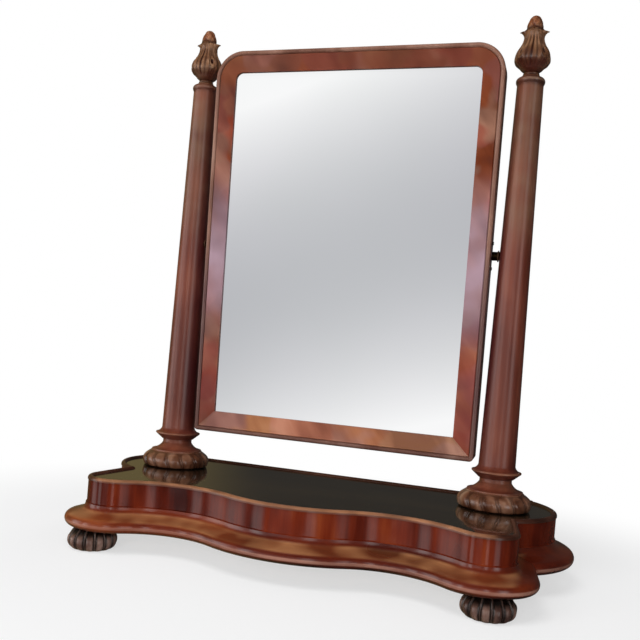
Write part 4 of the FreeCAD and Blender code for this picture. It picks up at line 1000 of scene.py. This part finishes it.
finial_levels, finial_radii = turned_outline("finial_left")
finial_levels = finial_levels - SPIGOT
outer = finial_levels > -LEVEL_SLACK
finial_path = [(0, -SPIGOT), (finial_radii[0], -SPIGOT), (finial_radii[0], 0)] + list(
    zip(finial_radii[outer], finial_levels[outer]))
plain_levels = np.array([level for level in finial_levels[outer] if level <= WAIST or level >= BUD])
plain_radii = np.interp(plain_levels, finial_levels[outer], finial_radii[outer])
print("finial levels:", len(finial_levels), "without the flare:", len(plain_levels))

# %% Cuts of a finial
# heights at which the leaves rise out of the bowl and flatten out again, and how deep they lie
LEAF_RISE, LEAF_END, LEAF_SINK = (12, 19), (58, 70), 0.9
# gouge cuts on a leaf, their depth, and what the middle one adds
GOUGES, GOUGE_CUT, MIDDLE_CUT = 5, 1.0, 0.7
# height of the eyes, the half width and height of the loop round each, and of the eye itself
EYE, LOOP_SIZE, EYE_SIZE = 37.0, (0.3, 11), (0.16, 6)
# depths of the eye, of the dish round it and of the parting of two leaves, and the rise of the loop, in mm
EYE_CUT, DISH_CUT, PARTING_CUT, LOOP_RISE = 2.6, 0.8, 1.1, 1.0
MOST_CUT = 4.2
# heights and depth of the turned lines
NECK_LINES, LINE_CUT = (4.5, 9), 1.2
# heights over which the bud closes, and the depths and slants of its spiral and of its dimples
BUD_END, SPIRAL_CUT, DIMPLE_CUT = (93, 98), 1.0, 0.45
SPIRAL_SLANT, DIMPLE_SLANT = 0.24, 0.45
# half the width of a curled tip, as a share of the leaf's, and how far its upper side is dished, in mm
TIP_WIDTH, TIP_DISH = 0.62, 1.4


def leaf_cuts(u, height):
    """Cuts that show as dark lines on the leaves, the eyes, and all that the leaves take away."""
    side = np.abs(u)
    # the cuts lean a little across the leaf, and stop at the loop round each eye
    lean = u - 0.12 * (1 - side) * (height - 45) / 40
    gouges = GOUGE_CUT * (0.5 + 0.5 * np.cos(GOUGES * math.pi * lean)) ** 1.6
    gouges = gouges + MIDDLE_CUT * bell(lean, 0, 0.07)
    loop = np.hypot((side - 1) / LOOP_SIZE[0], (height - EYE) / LOOP_SIZE[1])
    within = 1 - ease(loop, 0.72, 0.95)
    rim = bell(loop, 1.05, 0.14) * (1 - ease(height, EYE + 5, EYE + 13)) * ease(height, 20, 25)
    eye = 1 - ease(np.hypot((side - 1) / EYE_SIZE[0], (height - EYE - 1) / EYE_SIZE[1]), 0.5, 1.0)
    leafed = ease(height, *LEAF_RISE) * (1 - ease(height, *LEAF_END))
    parting = PARTING_CUT * bell(side, 1, 0.09) * ease(loop, 0.9, 1.2)
    lines = leafed * ((1 - within) * gouges + parting)
    bowl = 0.6 * ease(height, 13.5, 15.5) * (1 - ease(height, 18, 26))
    cut = lines + bowl + leafed * (LEAF_SINK + DISH_CUT * within) + EYE_CUT * eye - LOOP_RISE * rim
    return lines, eye, np.clip(cut, 0, MOST_CUT)


def finial_surface(u, s):
    """Leaves with curled tips, the bud between them, and the bowl with its turned lines."""
    radius, height = along_path(s, finial_path)
    bud_side = np.interp(height, plain_levels, plain_radii)
    curl = np.clip(1 - np.abs(u) / TIP_WIDTH, 0, 1) ** 0.75
    flared = (radius > bud_side) & (height > WAIST)
    radius = np.where(flared, bud_side + (radius - bud_side) * curl, radius)
    dish = TIP_DISH * np.sin(np.clip((height - TIP) / (BUD - TIP), 0, 1) * math.pi) * curl
    leaf_lines, eye, cut = leaf_cuts(u, height)
    neck = LINE_CUT * sum(bell(height, line, 1.0) for line in NECK_LINES)
    spiral = SPIRAL_CUT * (0.5 + 0.5 * np.cos(math.pi * u + height * SPIRAL_SLANT)) ** 4
    dimples = DIMPLE_CUT * (0.5 + 0.5 * np.cos(2 * math.pi * u - height * DIMPLE_SLANT)) ** 2
    groove = ease(height, BUD - 1, BUD + 3) * (1 - ease(height, *BUD_END)) * (spiral + dimples)
    depth = ease(radius, 0.5, 9) * (height > 0.5) * (cut + groove + neck)
    cup = ease(height, TIP - 0.5, TIP + 1) * (1 - ease(height, BUD, BUD + 3.5))
    shadow = np.clip((leaf_lines + 1.6 * eye + groove + neck) / 1.4 + 0.8 * cup, 0, 1)
    dark_bowl = 0.45 * ease(height, 0, 3) * (1 - ease(height, 14, 30))
    return radius - depth, height + SPIGOT - dish, np.maximum(shadow, dark_bowl)


finial_motif = wedge("finial_motif", FINIAL_LEAVES, finial_surface, columns=60, rows=200)
finial_ring = carved_ring("finial_ring", FINIAL_LEAVES, "finial", finial_motif)
finials = [carved_piece(node, finial_ring, "finial") for node in ("finial_left", "finial_right")]
print("finials:", len(finials), "faces each:", len(finial_ring.polygons))

# %% [markdown]
# ## Screws
# Wood screws with round slotted heads hold the board on the back of the frame and the
# two pivot plates. They are all alike, so one screw is modelled, and Geometry Nodes set
# a copy on every seat, turned by a fixed random amount as a joiner leaves the slots.
# The seats are read from the CAD screws: the long axis of each loose solid gives the
# direction, and its wide end is the head.

# %% One slotted screw
HEAD_RADIUS, HEAD_RISE, SHANK_RADIUS, SCREW_LENGTH = 3.5, 2.0, 1.75, 16.0
POINT_LENGTH = 4 * SHANK_RADIUS
SLOT_WIDTH, SLOT_FLOOR = 0.9, 1.0
HEAD_STEPS, SCREW_SIDES = 5, 24
SPIN_SEAM = 0.01 * MM


def slotted_screw():
    """A round-headed screw with its seat at the origin and its head along +Z."""
    steps = [math.pi / 2 * i / HEAD_STEPS for i in range(HEAD_STEPS + 1)]
    outline = [(HEAD_RADIUS * math.sin(a), HEAD_RISE * math.cos(a)) for a in steps]
    outline += [(SHANK_RADIUS, 0), (SHANK_RADIUS, POINT_LENGTH - SCREW_LENGTH), (0, -SCREW_LENGTH)]
    build = bmesh.new()
    chain = [build.verts.new((radius * MM, 0, height * MM)) for radius, height in outline]
    edges = [build.edges.new(pair) for pair in zip(chain, chain[1:])]
    bmesh.ops.spin(build, geom=chain + edges, cent=(0, 0, 0), axis=(0, 0, 1), angle=2 * math.pi,
                   steps=SCREW_SIDES)
    bmesh.ops.remove_doubles(build, verts=build.verts, dist=SPIN_SEAM)
    half_slot = SLOT_WIDTH * MM / 2
    for side in (-1, 1):
        geometry = build.verts[:] + build.edges[:] + build.faces[:]
        bmesh.ops.bisect_plane(build, geom=geometry, plane_co=(side * half_slot, 0, 0), plane_no=(1, 0, 0))
    slot = [face for face in build.faces if abs(face.calc_center_median().x) < half_slot
            and face.calc_center_median().z > SLOT_FLOOR * MM]
    sunk = bmesh.ops.extrude_face_region(build, geom=slot)["geom"]
    bmesh.ops.delete(build, geom=slot, context="FACES_ONLY")
    for part in sunk:
        if isinstance(part, bmesh.types.BMVert):
            part.co.z = min(part.co.z, SLOT_FLOOR * MM)
    mesh = bpy.data.meshes.new("screw")
    bmesh.ops.recalc_face_normals(build, faces=build.faces)
    build.to_mesh(mesh)
    build.free()
    return mesh


screw = slotted_screw()
print("screw faces:", len(screw.polygons))


# %% Seats of the screws
def screw_seats(node):
    """Seats and outward axes of the screws of a CAD node, sorted by place."""
    build = bmesh.new()
    build.from_mesh(nodes[node].data)
    bmesh.ops.remove_doubles(build, verts=build.verts, dist=WELD)
    waiting = set(build.verts)
    seats = []
    while waiting:
        island = [waiting.pop()]
        for vertex in island:
            for edge in vertex.link_edges:
                other = edge.other_vert(vertex)
                if other in waiting:
                    waiting.discard(other)
                    island.append(other)
        points = np.array([vertex.co for vertex in island])
        middle = (points.min(0) + points.max(0)) / 2
        axis = np.linalg.svd(points - points.mean(0), full_matrices=False)[2][0]
        along = (points - middle) @ axis
        spread = np.linalg.norm(points - middle - np.outer(along, axis), axis=1)
        if along[spread.argmax()] < 0:
            axis, along = -axis, -along
        seats.append((tuple(middle + axis * (along.max() - HEAD_RISE * MM)), tuple(axis)))
    build.free()
    return sorted(seats)


SCREW_NODES = {"backboard_screws": "steel", "pivot_plate_screws": "brass"}
seats = {node: screw_seats(node) for node in SCREW_NODES}
print("screws:", {node: len(places) for node, places in seats.items()})

# %% Screws on their seats
SLOT_SEED = 7


def screw_rows():
    """A node tree that sets a screw on every point, along its axis attribute."""
    tree = bpy.data.node_groups.new("screws on their seats", "GeometryNodeTree")
    tree.interface.new_socket("Seats", in_out="INPUT", socket_type="NodeSocketGeometry")
    screw_input = tree.interface.new_socket("Screw", in_out="INPUT", socket_type="NodeSocketObject")
    finish = tree.interface.new_socket("Finish", in_out="INPUT", socket_type="NodeSocketMaterial")
    tree.interface.new_socket("Screws", in_out="OUTPUT", socket_type="NodeSocketGeometry")
    given = add(tree, "NodeGroupInput").outputs
    model = add(tree, "GeometryNodeObjectInfo", {"Object": given["Screw"]}).outputs["Geometry"]
    axis = add(tree, "GeometryNodeInputNamedAttribute", {"Name": "axis"}, data_type="FLOAT_VECTOR").outputs[0]
    upright = add(tree, "FunctionNodeAlignRotationToVector", {"Vector": axis}, axis="Z").outputs[0]
    random = add(tree, "FunctionNodeRandomValue", {"Min": 0.0, "Max": math.pi, "Seed": SLOT_SEED},
                 data_type="FLOAT")
    angle = next(socket for socket in random.outputs if socket.enabled)
    spin = add(tree, "FunctionNodeAxisAngleToRotation", {"Axis": (0, 0, 1), "Angle": angle}).outputs[0]
    turned = add(tree, "FunctionNodeRotateRotation", {"Rotation": upright, "Rotate By": spin},
                 rotation_space="LOCAL").outputs[0]
    placed = add(tree, "GeometryNodeInstanceOnPoints",
                 {"Points": given["Seats"], "Instance": model, "Rotation": turned}).outputs[0]
    real = add(tree, "GeometryNodeRealizeInstances", {"Geometry": placed}).outputs[0]
    dressed = add(tree, "GeometryNodeSetMaterial",
                  {"Geometry": real, "Material": given["Finish"]}).outputs[0]
    add(tree, "NodeGroupOutput", {"Screws": dressed})
    return tree, screw_input.identifier, finish.identifier


ROWS, ROW_SCREW, ROW_FINISH = screw_rows()
SCREW_BEND = 40
screw_model = fresh_object("screw_model", screw, "steel")
for node, finish in SCREW_NODES.items():
    dots = bpy.data.meshes.new(node + "_seats")
    dots.from_pydata([seat for seat, axis in seats[node]], [], [])
    directions = dots.attributes.new("axis", "FLOAT_VECTOR", "POINT").data
    directions.foreach_set("vector", np.ravel([axis for seat, axis in seats[node]]))
    given = {ROW_SCREW: screw_model, ROW_FINISH: finishes[finish]}
    mesh = smooth(made_real(node + "_holder", dots, ROWS, given, finish), SCREW_BEND)
    piece = stand_in("slotted_" + node, mesh, node, finish)
    print(piece.name, "faces:", len(mesh.polygons))
bpy.data.objects.remove(screw_model)

# %% [markdown]
# ## Boards and hidden pieces
# The boards, the blocks and wedges, the glass plate and the screws and washers under the
# columns are flat or out of sight. Their CAD shapes are right as they are, so each node
# stays and only gets its finish.

# %% Boards and hidden pieces
PLAIN_NODES = {
    "pine": ("back_board", "bottom_board", "backboard", "glue_blocks", "glass_wedges",
             "column_block_left", "column_block_right"),
    "mirror": ("mirror_glass",),
    "steel": ("column_screws", "column_washers"),
}
for finish, group in PLAIN_NODES.items():
    for node in group:
        nodes[node].data.materials.clear()
        nodes[node].data.materials.append(finishes[finish])
print("plain nodes:", sum(len(group) for group in PLAIN_NODES.values()))
